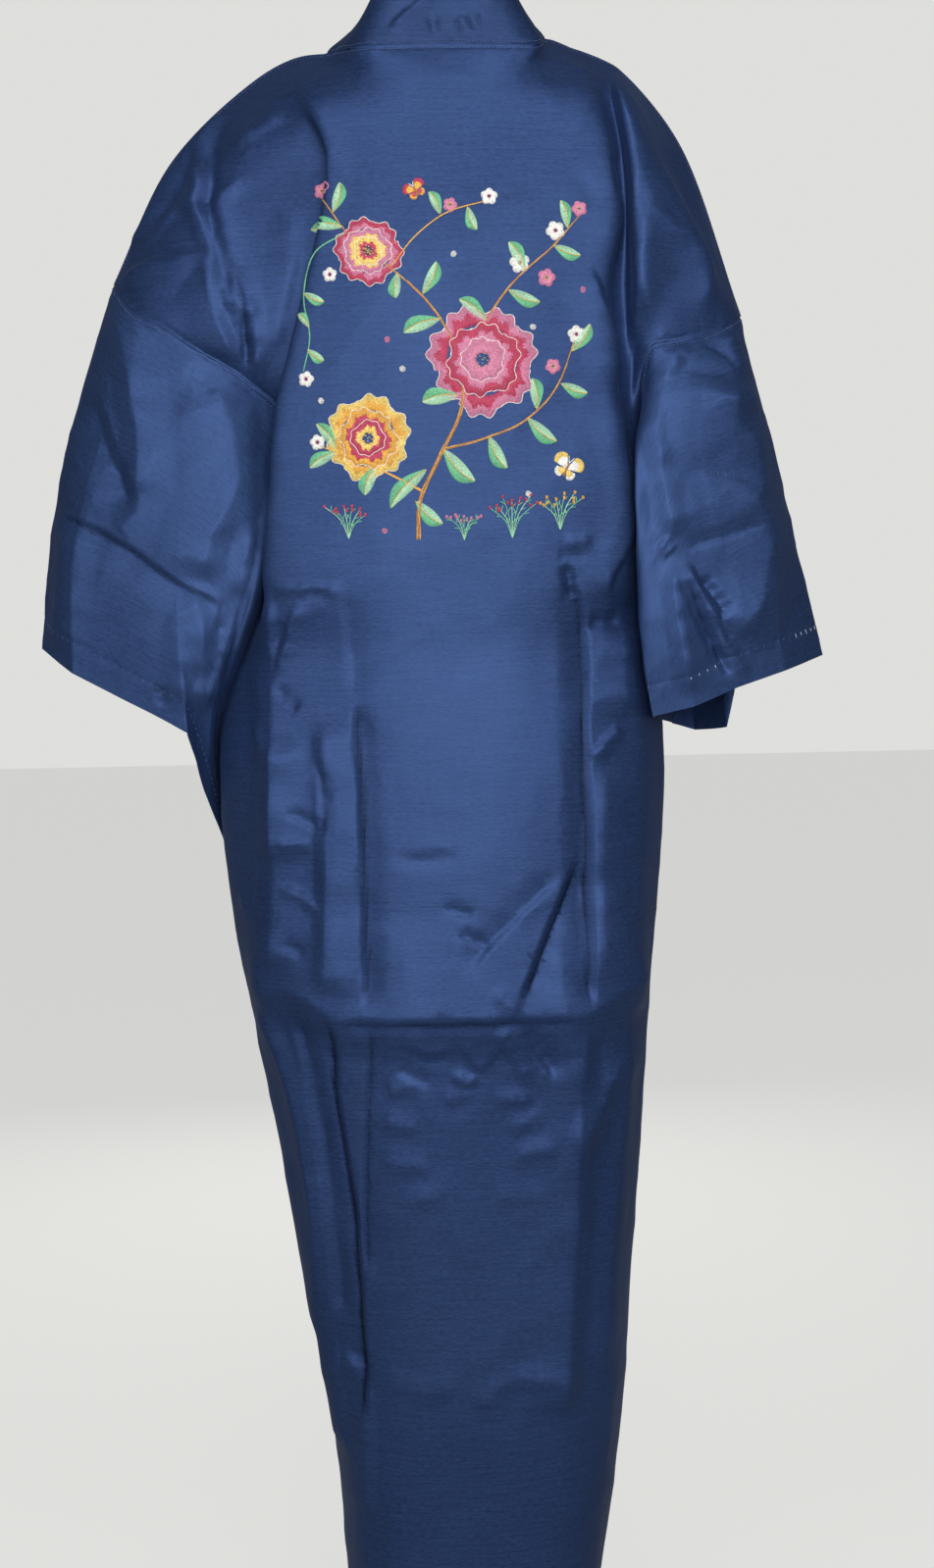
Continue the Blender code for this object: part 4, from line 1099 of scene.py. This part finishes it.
class Threads:
    """Threads lying on the back, kept by colour; each is a row of (x, height, lift) in millimetres."""

    def __init__(self):
        self.by_colour = {name: [] for name in THREAD_COLOURS}

    def stitch(self, colour, start, end, lift=0.0, bow=0.45):
        """One stitch: it comes up out of the cloth, lies along it and goes down again."""
        start = np.array(start, float)
        end = np.array(end, float)
        places = []
        turns = ((0.0, -THREAD_SINK), (STITCH_TURN, bow), (1 - STITCH_TURN, bow), (1.0, -THREAD_SINK))
        for share, rise in turns:
            x, height = start + (end - start) * share
            places.append((x, height, rise + lift))
        self.by_colour[colour].append(places)

    def line(self, colour, path, lift=0.25):
        """A long thread laid along a path and held down."""
        self.by_colour[colour].append([(x, height, lift) for x, height in path])


def turned(angle, length):
    """An offset of that length, the angle in degrees from the wearer's left, turning up."""
    return np.array((math.cos(math.radians(angle)), math.sin(math.radians(angle)))) * length


def plane_curve(path, steps):
    """A smooth curve through (x, height) places, with so many steps in each stretch."""
    points = np.array([(x, 0, height) for x, height in path], float)
    return curve_through(points, (steps,) * (len(points) - 1))[:, [0, 2]]


def sew_petal(threads, rng, centre, angle, width, inner, outer, colour, inner_colour, lift):
    """Long and short threads fanned from a flower's middle to a scalloped edge, then the edge's own line."""
    count = max(6, int(math.radians(width) * outer / THREAD_PITCH))
    edge = []
    for step in range(count + 1):
        share = 2 * step / count - 1
        direction = angle + share * width / 2
        wave = PETAL_SCALLOP * math.cos(share * PETAL_WAVES)
        reach = outer * (1 - PETAL_ROUNDING * abs(share) ** 3 - wave)
        edge.append(centre + turned(direction, reach))
        split = reach - (outer - inner) * rng.uniform(*PETAL_SPLIT)
        start = inner + rng.uniform(0.0, 1.2) + (outer - inner) * 0.08 * (step % 2)
        for thread, near, far in ((colour, split - 1.2, reach), (inner_colour, start, split)):
            threads.stitch(thread, centre + turned(direction, near), centre + turned(direction, far), lift)
    threads.line("white", edge[:: max(1, count // 14)] + [edge[-1]], lift + 0.35)


def sew_peony(threads, rng, centre, radius, turn, petals, colours):
    """Three rings of petals, the inner ones on top, and a heart of knots."""
    centre = np.array(centre, float)
    inner_colours = colours[1:] + (colours[0],)
    for ring, (inner, outer) in enumerate(PEONY_RINGS):
        count = petals[ring]
        width = 360 / count * PETAL_OVERLAP
        for petal in range(count):
            angle = turn + ring * RING_TURN + 360 * petal / count + rng.uniform(-4, 4)
            size = rng.uniform(0.94, 1.05) * radius
            sew_petal(threads, rng, centre, angle, width, inner * size, outer * size,
                      colours[ring], inner_colours[ring], RING_RISE * ring)
    for knot in range(HEART_KNOTS):
        place = centre + turned(knot * GOLDEN_ANGLE, radius * HEART_SHARE * math.sqrt(knot / HEART_KNOTS))
        threads.stitch("yellow", place - (0.5, 0), place + (0.5, 0.3), 0.9, 0.8)


def sew_leaf(threads, base, tip, width):
    """Slanting threads from the vein to each edge, one side paler, with the vein on top."""
    base = np.array(base, float)
    tip = np.array(tip, float)
    along = tip - base
    length = np.linalg.norm(along)
    along = along / length
    across = np.array((-along[1], along[0]))
    bend = across * VEIN_BEND * length
    count = int(length / THREAD_PITCH * 0.9)

    def vein(share):
        """The place so far along the leaf, from 0 to 1."""
        return base + along * length * share + bend * math.sin(math.pi * share)

    for step in range(1, count):
        share = step / count
        half = 0.5 * width * math.sin(math.pi * share**0.8) ** 0.85
        ahead = along * (LEAF_SLANT * half)
        for side, colour in ((1, "mint"), (-1, "pale_mint")):
            start = vein(share * 0.94)
            threads.stitch(colour, start, start + across * side * half + ahead, 0.1)
    threads.line("gold", [vein(share) for share in (0.0, 0.25, 0.5, 0.75, 0.92)], 0.75)


def sew_stem(threads, path, start_width, end_width, colour):
    """Stem stitch: short threads that overlap along the branch, side by side where it is wide."""
    places = plane_curve(path, 24)
    run = np.concatenate([[0], np.cumsum(np.linalg.norm(np.diff(places, axis=0), axis=1))])
    rows = max(1, int(round(start_width / STEM_ROW)))

    def at(distance):
        """The place so far along the branch."""
        return np.array([np.interp(distance, run, places[:, axis]) for axis in (0, 1)])

    for row in range(rows):
        for distance in np.arange(0, run[-1] - STEM_END, STEM_STEP):
            share = distance / run[-1]
            half = (start_width + (end_width - start_width) * share) / 2
            if row and half * 2 < row * 0.8:
                continue
            offset = ((row + 0.5) / rows * 2 - 1) * max(half - 0.4, 0)
            ends = []
            for place, slant in ((distance, -STEM_SLANT), (distance + STEM_STITCH, STEM_SLANT)):
                place = min(place + STEM_STEP / 2 * (row % 2), run[-1])
                x_after, z_after = at(place + 0.5) - at(place - 0.5)
                side = np.array((-z_after, x_after)) / max(math.hypot(x_after, z_after), 1e-6)
                ends.append(at(place) + side * (offset + slant))
            glint = colour == "tan" and (row + int(distance / 9)) % 4 == 0
            threads.stitch("gold" if glint else colour, ends[0], ends[1], 0.05 * row)


def sew_blossom(threads, rng, centre, radius, colour):
    """Five plain petals round a few knots."""
    centre = np.array(centre, float)
    turn = rng.uniform(0, 72)
    for petal in range(5):
        angle = turn + 72 * petal
        count = max(7, int(radius * 1.15 / THREAD_PITCH))
        for step in range(count + 1):
            share = 2 * step / count - 1
            reach = radius * (1 - 0.22 * share * share)
            direction = angle + share * 33
            threads.stitch(colour, centre + turned(direction, 1.4), centre + turned(direction, reach))
    for knot in range(5):
        place = centre + turned(turn + 36 + 72 * knot, 1.3)
        heart = "rose" if colour == "white" else "yellow"
        threads.stitch(heart, place - (0.4, 0), place + (0.4, 0), 0.4, 0.7)


def sew_sprig(threads, rng, foot, height, stems, colour):
    """A tuft of stems with small leaves and berries."""
    for stem in range(stems):
        lean = (stem / (stems - 1) * 2 - 1) * 0.62
        reach = height * rng.uniform(0.72, 1.0)
        tip = (foot[0] + lean * reach, foot[1] + reach * (1 - 0.25 * abs(lean)))
        middle = (foot[0] + lean * reach * 0.34, foot[1] + reach * 0.5)
        path = plane_curve((foot, middle, tip), 5)
        threads.line("pale_mint" if stem % 2 else "mint", path)
        for share in (4, 6, 8):
            place = path[share]
            side = 1 if (stem + share) % 4 else -1
            threads.stitch("mint", place, place + turned(90 - lean * 60 + side * 42, 4.6))
        for berry in (path[-1], path[-3] + turned(rng.uniform(0, 180), 2.4)):
            for offset in (-0.7, 0.0, 0.7):
                threads.stitch(colour, berry + (offset, -1.2), berry + (offset, 1.2), 0.2, 0.7)


def sew_butterfly(threads, centre, wing, turn, colours):
    """Two large and two small wings, a body and feelers."""
    centre = np.array(centre, float)
    for angle, share, colour, edge in (
        (40, 1.0, *colours), (140, 1.0, *colours), (-38, 0.68, *colours[::-1]), (218, 0.68, *colours[::-1]),
    ):
        count = int(wing * share * 1.1 / THREAD_PITCH)
        for step in range(count + 1):
            side = 2 * step / count - 1
            direction = turn + angle + side * 30
            reach = wing * share * (1 - 0.18 * side * side)
            threads.stitch(colour, centre + turned(direction, 1.2), centre + turned(direction, reach * 0.72))
            threads.stitch(edge, centre + turned(direction, reach * 0.70), centre + turned(direction, reach))
    head = centre + turned(turn + 90, wing * 0.34)
    tail = centre + turned(turn - 90, wing * 0.42)
    for offset in (-0.5, 0.1, 0.7):
        threads.stitch("tan", tail + turned(turn, offset), head + turned(turn, offset), 0.3)
    for side in (-1, 1):
        threads.line("white", [head, head + turned(turn + 90 + side * 24, wing * 0.4)])


def draw_flowers():
    """Every thread of the spray."""
    rng = random.Random(11)
    threads = Threads()
    for branch in BRANCHES:
        sew_stem(threads, *branch)
    for leaf in LEAVES:
        sew_leaf(threads, *leaf)
    for sprig in SPRIGS:
        sew_sprig(threads, rng, *sprig)
    for peony in PEONIES:
        sew_peony(threads, rng, *peony)
    for blossom in BLOSSOMS:
        sew_blossom(threads, rng, *blossom)
    for butterfly in BUTTERFLIES:
        sew_butterfly(threads, *butterfly)
    for centre, angle, colour in FALLING_PETALS:
        for offset in np.linspace(-1.8, 1.8, 5):
            half = 2.6 * math.sqrt(1 - (offset / 2.3) ** 2)
            middle = np.array(centre, float) + turned(angle + 90, offset)
            threads.stitch(colour, middle - turned(angle, half), middle + turned(angle, half))
    return threads


def surface_tree(outer):
    """A search tree of a piece's outer points, in metres."""
    outer = outer[::2, ::2]
    rows, columns = outer.shape[:2]
    index = np.arange(rows * columns).reshape(rows, columns)
    faces = np.stack([index[:-1, :-1], index[:-1, 1:], index[1:, 1:], index[1:, :-1]], axis=2).reshape(-1, 4)
    return BVHTree.FromPolygons((outer.reshape(-1, 3) * MM).tolist(), faces.tolist())


def on_cloth(tree, x, height, lift, toward=-1):
    """The place on the cloth behind (x, height), seen along Y, raised by lift; all in millimetres."""
    start = Vector((x * MM, -toward * 0.4, height * MM))
    place, normal, _, _ = tree.ray_cast(start, Vector((0, toward, 0)))
    if place is None:
        return None
    if normal.y * toward > 0:
        normal = -normal
    return place + normal * (lift * MM)


def curve_object(name, paths):
    """A curve with one straight-sided spline for each path, a list of places in metres."""
    data = bpy.data.curves.new(name, "CURVE")
    data.dimensions = "3D"
    for path in paths:
        spline = data.splines.new("POLY")
        spline.points.add(len(path) - 1)
        flat = np.ones((len(path), 4))
        flat[:, :3] = path
        spline.points.foreach_set("co", flat.ravel())
    obj = bpy.data.objects.new(name, data)
    bpy.context.scene.collection.objects.link(obj)
    return obj


def new_group(name, sizes):
    """A Geometry Nodes tree with named inputs for its geometry, sizes and material, and its input node."""
    group = bpy.data.node_groups.new(name, "GeometryNodeTree")
    group.interface.new_socket(name="Geometry", in_out="OUTPUT", socket_type="NodeSocketGeometry")
    for label, kind, default in (("Geometry", "Geometry", None), *sizes, ("Material", "Material", None)):
        socket = group.interface.new_socket(name=label, in_out="INPUT", socket_type="NodeSocket" + kind)
        if default is not None:
            socket.default_value = default
    return group, group.nodes.new("NodeGroupInput")


def halved(group, width):
    """The radius of a width."""
    half = add_node(group, "ShaderNodeMath", operation="MULTIPLY")
    half.inputs[1].default_value = 0.5
    group.links.new(width, half.inputs[0])
    return half.outputs[0]


def finish_group(group, given, made):
    """Ends a tree: smooth shading, Realize Instances, Set Material and its output."""
    for kind in ("GeometryNodeSetShadeSmooth", "GeometryNodeRealizeInstances", "GeometryNodeSetMaterial"):
        node = group.nodes.new(kind)
        group.links.new(made, node.inputs["Geometry"])
        made = node.outputs["Geometry"]
    group.links.new(given.outputs["Material"], node.inputs["Material"])
    group.links.new(made, group.nodes.new("NodeGroupOutput").inputs["Geometry"])


def thread_group():
    """Geometry Nodes: a round thread along every spline."""
    group, given = new_group("threads", (("Width", "Float", 0.0007), ("Sides", "Int", 5)))
    circle = group.nodes.new("GeometryNodeCurvePrimitiveCircle")
    sweep = group.nodes.new("GeometryNodeCurveToMesh")
    link = group.links.new
    link(halved(group, given.outputs["Width"]), circle.inputs["Radius"])
    link(given.outputs["Sides"], circle.inputs["Resolution"])
    link(given.outputs["Geometry"], sweep.inputs["Curve"])
    link(circle.outputs["Curve"], sweep.inputs["Profile Curve"])
    finish_group(group, given, sweep.outputs["Mesh"])
    return group


def set_inputs(modifier, values):
    """Sets a Geometry Nodes modifier's inputs by name."""
    for item in modifier.node_group.interface.items_tree:
        if item.item_type == "SOCKET" and item.in_out == "INPUT" and item.name in values:
            modifier[item.identifier] = values[item.name]


def grown(obj, group, values, name):
    """The plain mesh that a Geometry Nodes group makes of a curve, in place of that curve."""
    modifier = obj.modifiers.new("grow", "NODES")
    modifier.node_group = group
    set_inputs(modifier, values)
    graph = bpy.context.evaluated_depsgraph_get()
    mesh = bpy.data.meshes.new_from_object(obj.evaluated_get(graph))
    mesh.name = name
    bpy.data.objects.remove(obj)
    made = bpy.data.objects.new(name, mesh)
    bpy.context.scene.collection.objects.link(made)
    return made


def thread_material(name, colour):
    """Glossy rayon thread, twisted, each strand a little lighter or darker."""
    made, tree, surface = new_material("thread_" + name)
    place = add_node(tree, "ShaderNodeTexCoord")
    strands = add_node(tree, "ShaderNodeTexNoise", scale=900.0, detail=2.0)
    tree.links.new(place.outputs["Object"], strands.inputs["Vector"])
    dark = tuple(0.62 * value for value in colour)
    light = tuple(min(1.0, 1.12 * value) for value in colour)
    colour_ramp(tree, strands.outputs["Fac"], surface, ((0.32, dark), (0.66, light)))
    add_bump(tree, strands.outputs["Fac"], surface, 0.4, 0.0001)
    surface.inputs["Roughness"].default_value = 0.38
    surface.inputs["Sheen Weight"].default_value = 0.15
    return made


def edge_line(outer, closed, edge, share, distance):
    """Places on the cloth at a distance from one of its edges, with the ways along and across that line."""
    axis, from_end = edge
    normals = grid_normals(outer, closed)
    points = outer
    if axis == 1:
        points = np.transpose(points, (1, 0, 2))
        normals = np.transpose(normals, (1, 0, 2))
    if from_end:
        points = points[::-1]
        normals = normals[::-1]
    last = points.shape[1] - 1
    picked = np.arange(int(share[0] * last), int(share[1] * last) + 1, 2)
    points = points[:, picked]
    normals = normals[:, picked]
    run = edge_distance(points, 0)
    row = np.maximum((run < distance).sum(axis=0), 1)
    column = np.arange(len(picked))
    gap = run[row, column] - run[row - 1, column]
    part = ((distance - run[row - 1, column]) / gap)[:, None]
    places = points[row - 1, column] * (1 - part) + points[row, column] * part
    across = unit(points[row, column] - points[row - 1, column])
    along = unit(np.gradient(places, axis=0))
    return places + 0.2 * normals[row, column], {"along": along, "across": across}


def path_object(name, places, way):
    """A line of edges through places in metres, carrying the way its stitches lie."""
    mesh = bpy.data.meshes.new(name)
    mesh.from_pydata(places.tolist(), [(i, i + 1) for i in range(len(places) - 1)], [])
    attribute = mesh.attributes.new("way", "FLOAT_VECTOR", "POINT")
    attribute.data.foreach_set("vector", np.ascontiguousarray(way, dtype=np.float32).ravel())
    obj = bpy.data.objects.new(name, mesh)
    bpy.context.scene.collection.objects.link(obj)
    return obj


def stitch_group():
    """Geometry Nodes: stitches at even steps along a path, each a little uneven."""
    group, given = new_group("stitches", (
        ("Spacing", "Float", 0.004), ("Length", "Float", 0.0024), ("Width", "Float", 0.0005),
        ("Seed", "Int", 5),
    ))
    path = group.nodes.new("GeometryNodeMeshToCurve")
    steps = add_node(group, "GeometryNodeResampleCurve", mode="LENGTH")
    stitch = add_node(group, "GeometryNodeMeshCylinder", vertices=6)
    way = add_node(group, "GeometryNodeInputNamedAttribute", data_type="FLOAT_VECTOR")
    way.inputs["Name"].default_value = "way"
    turn = add_node(group, "FunctionNodeAlignRotationToVector", axis="Z")
    uneven = add_node(group, "FunctionNodeRandomValue", data_type="FLOAT_VECTOR")
    uneven.inputs[0].default_value = (0.9, 0.9, 0.8)
    uneven.inputs[1].default_value = (1.1, 1.1, 1.15)
    place = group.nodes.new("GeometryNodeInstanceOnPoints")
    link = group.links.new
    link(given.outputs["Geometry"], path.inputs["Mesh"])
    link(path.outputs["Curve"], steps.inputs["Curve"])
    link(given.outputs["Spacing"], steps.inputs["Length"])
    link(halved(group, given.outputs["Width"]), stitch.inputs["Radius"])
    link(given.outputs["Length"], stitch.inputs["Depth"])
    link(way.outputs["Attribute"], turn.inputs["Vector"])
    link(given.outputs["Seed"], uneven.inputs["Seed"])
    link(steps.outputs["Curve"], place.inputs["Points"])
    link(stitch.outputs["Mesh"], place.inputs["Instance"])
    link(turn.outputs["Rotation"], place.inputs["Rotation"])
    link(uneven.outputs[0], place.inputs["Scale"])
    finish_group(group, given, place.outputs["Instances"])
    return group


def make_stitches(surfaces):
    """The rows of stitches on the seams and hems."""
    group = stitch_group()
    paints = {name: thread_material(name, colour) for name, colour in STITCH_COLOURS.items()}
    for number, (name, edge, share, distance, way, length, spacing, thread) in enumerate(STITCH_ROWS):
        places, ways = edge_line(surfaces[name], PIECES[name][0], edge, share, distance)
        path = path_object(f"path_{number}", places * MM, ways[way])
        values = {
            "Spacing": spacing * MM, "Length": length * MM, "Width": STITCH_WIDTH * MM, "Seed": number,
            "Material": paints[thread],
        }
        piece = grown(path, group, values, f"stitches_{number}_{name}")
        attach(piece, "root")


def make_embroidery(tree):
    """The spray's threads, one piece for each colour, lying on the back."""
    group = thread_group()
    for colour, stitches in draw_flowers().by_colour.items():
        paths = []
        for stitch in stitches:
            path = [on_cloth(tree, *place) for place in stitch]
            if all(path):
                paths.append(path)
        curve = curve_object("laid_" + colour, paths)
        paint = thread_material(colour, THREAD_COLOURS[colour])
        values = {"Width": THREAD_WIDTH * MM, "Sides": 5, "Material": paint}
        piece = grown(curve, group, values, "embroidery_" + colour)
        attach(piece, "root")


def camera_axes():
    """The photograph's camera: the way it looks, its right and its up."""
    pitch = math.radians(CAMERA_PITCH)
    roll = math.radians(CAMERA_ROLL)
    ahead = Vector((0, -math.cos(pitch), -math.sin(pitch)))
    level = Vector((-1, 0, 0))
    above = level.cross(ahead)
    right = math.cos(roll) * level - math.sin(roll) * above
    up = math.sin(roll) * level + math.cos(roll) * above
    return ahead, right, up


def make_camera():
    """One camera, which frames the robe as the photograph does."""
    ahead, right, up = camera_axes()
    data = bpy.data.cameras.new("camera")
    data.sensor_width = SENSOR
    data.lens = SENSOR * FOCAL_PIXELS / PHOTO_HEIGHT
    data.clip_start = 0.05
    data.clip_end = 60
    camera = bpy.data.objects.new("camera", data)
    camera.matrix_world = Matrix.Translation(CAMERA_PLACE) @ Matrix((right, up, -ahead)).transposed().to_4x4()
    bpy.context.scene.collection.objects.link(camera)
    bpy.context.scene.camera = camera


def area_light(name, place, target, size, watts, colour):
    """A soft elliptical light that points at its target."""
    data = bpy.data.lights.new(name, "AREA")
    data.shape = "ELLIPSE"
    data.size, data.size_y = size
    data.energy = watts
    data.color = colour
    light = bpy.data.objects.new(name, data)
    light.location = place
    light.rotation_euler = (Vector(target) - Vector(place)).to_track_quat("-Z", "Y").to_euler()
    bpy.context.scene.collection.objects.link(light)


def seen_strength(tree, lighting, seen):
    """A glow that is strong where it is seen and weak where it lights the robe."""
    rays = add_node(tree, "ShaderNodeLightPath")
    strength = add_node(tree, "ShaderNodeMapRange", to_min=lighting, to_max=seen)
    tree.links.new(rays.outputs["Is Camera Ray"], strength.inputs["Value"])
    return strength.outputs["Result"]


def make_stage():
    """A plain pale floor, a pale world and soft light from behind the photograph's camera."""
    mesh = bpy.data.meshes.new("floor")
    corners = ((-1, -1), (1, -1), (1, 1), (-1, 1))
    places = [(x * FLOOR_HALF, y * FLOOR_HALF, FLOOR_HEIGHT) for x, y in corners]
    mesh.from_pydata(places, [], [(0, 1, 2, 3)])
    floor = bpy.data.objects.new("floor", mesh)
    bpy.context.scene.collection.objects.link(floor)
    made, tree, surface = new_material("floor_paint")
    surface.inputs["Base Color"].default_value = (0.22, 0.22, 0.21, 1)
    surface.inputs["Roughness"].default_value = 0.9
    surface.inputs["Specular IOR Level"].default_value = 0.0
    surface.inputs["Emission Color"].default_value = (1.0, 1.0, 0.98, 1)
    tree.links.new(seen_strength(tree, 0.12, 0.62), surface.inputs["Emission Strength"])
    mesh.materials.append(made)

    world = bpy.data.worlds.new("pale")
    world.use_nodes = True
    tree = world.node_tree
    background = tree.nodes["Background"]
    background.inputs["Color"].default_value = (0.80, 0.80, 0.78, 1)
    tree.links.new(seen_strength(tree, 0.12, 0.92), background.inputs["Strength"])
    bpy.context.scene.world = world
    bpy.context.scene.view_settings.view_transform = "Standard"

    for light in LIGHTS:
        area_light(*light)


make_camera()
make_stage()
surfaces = make_cloth()
make_embroidery(surface_tree(surfaces["back_panel"]))
make_stitches(surfaces)
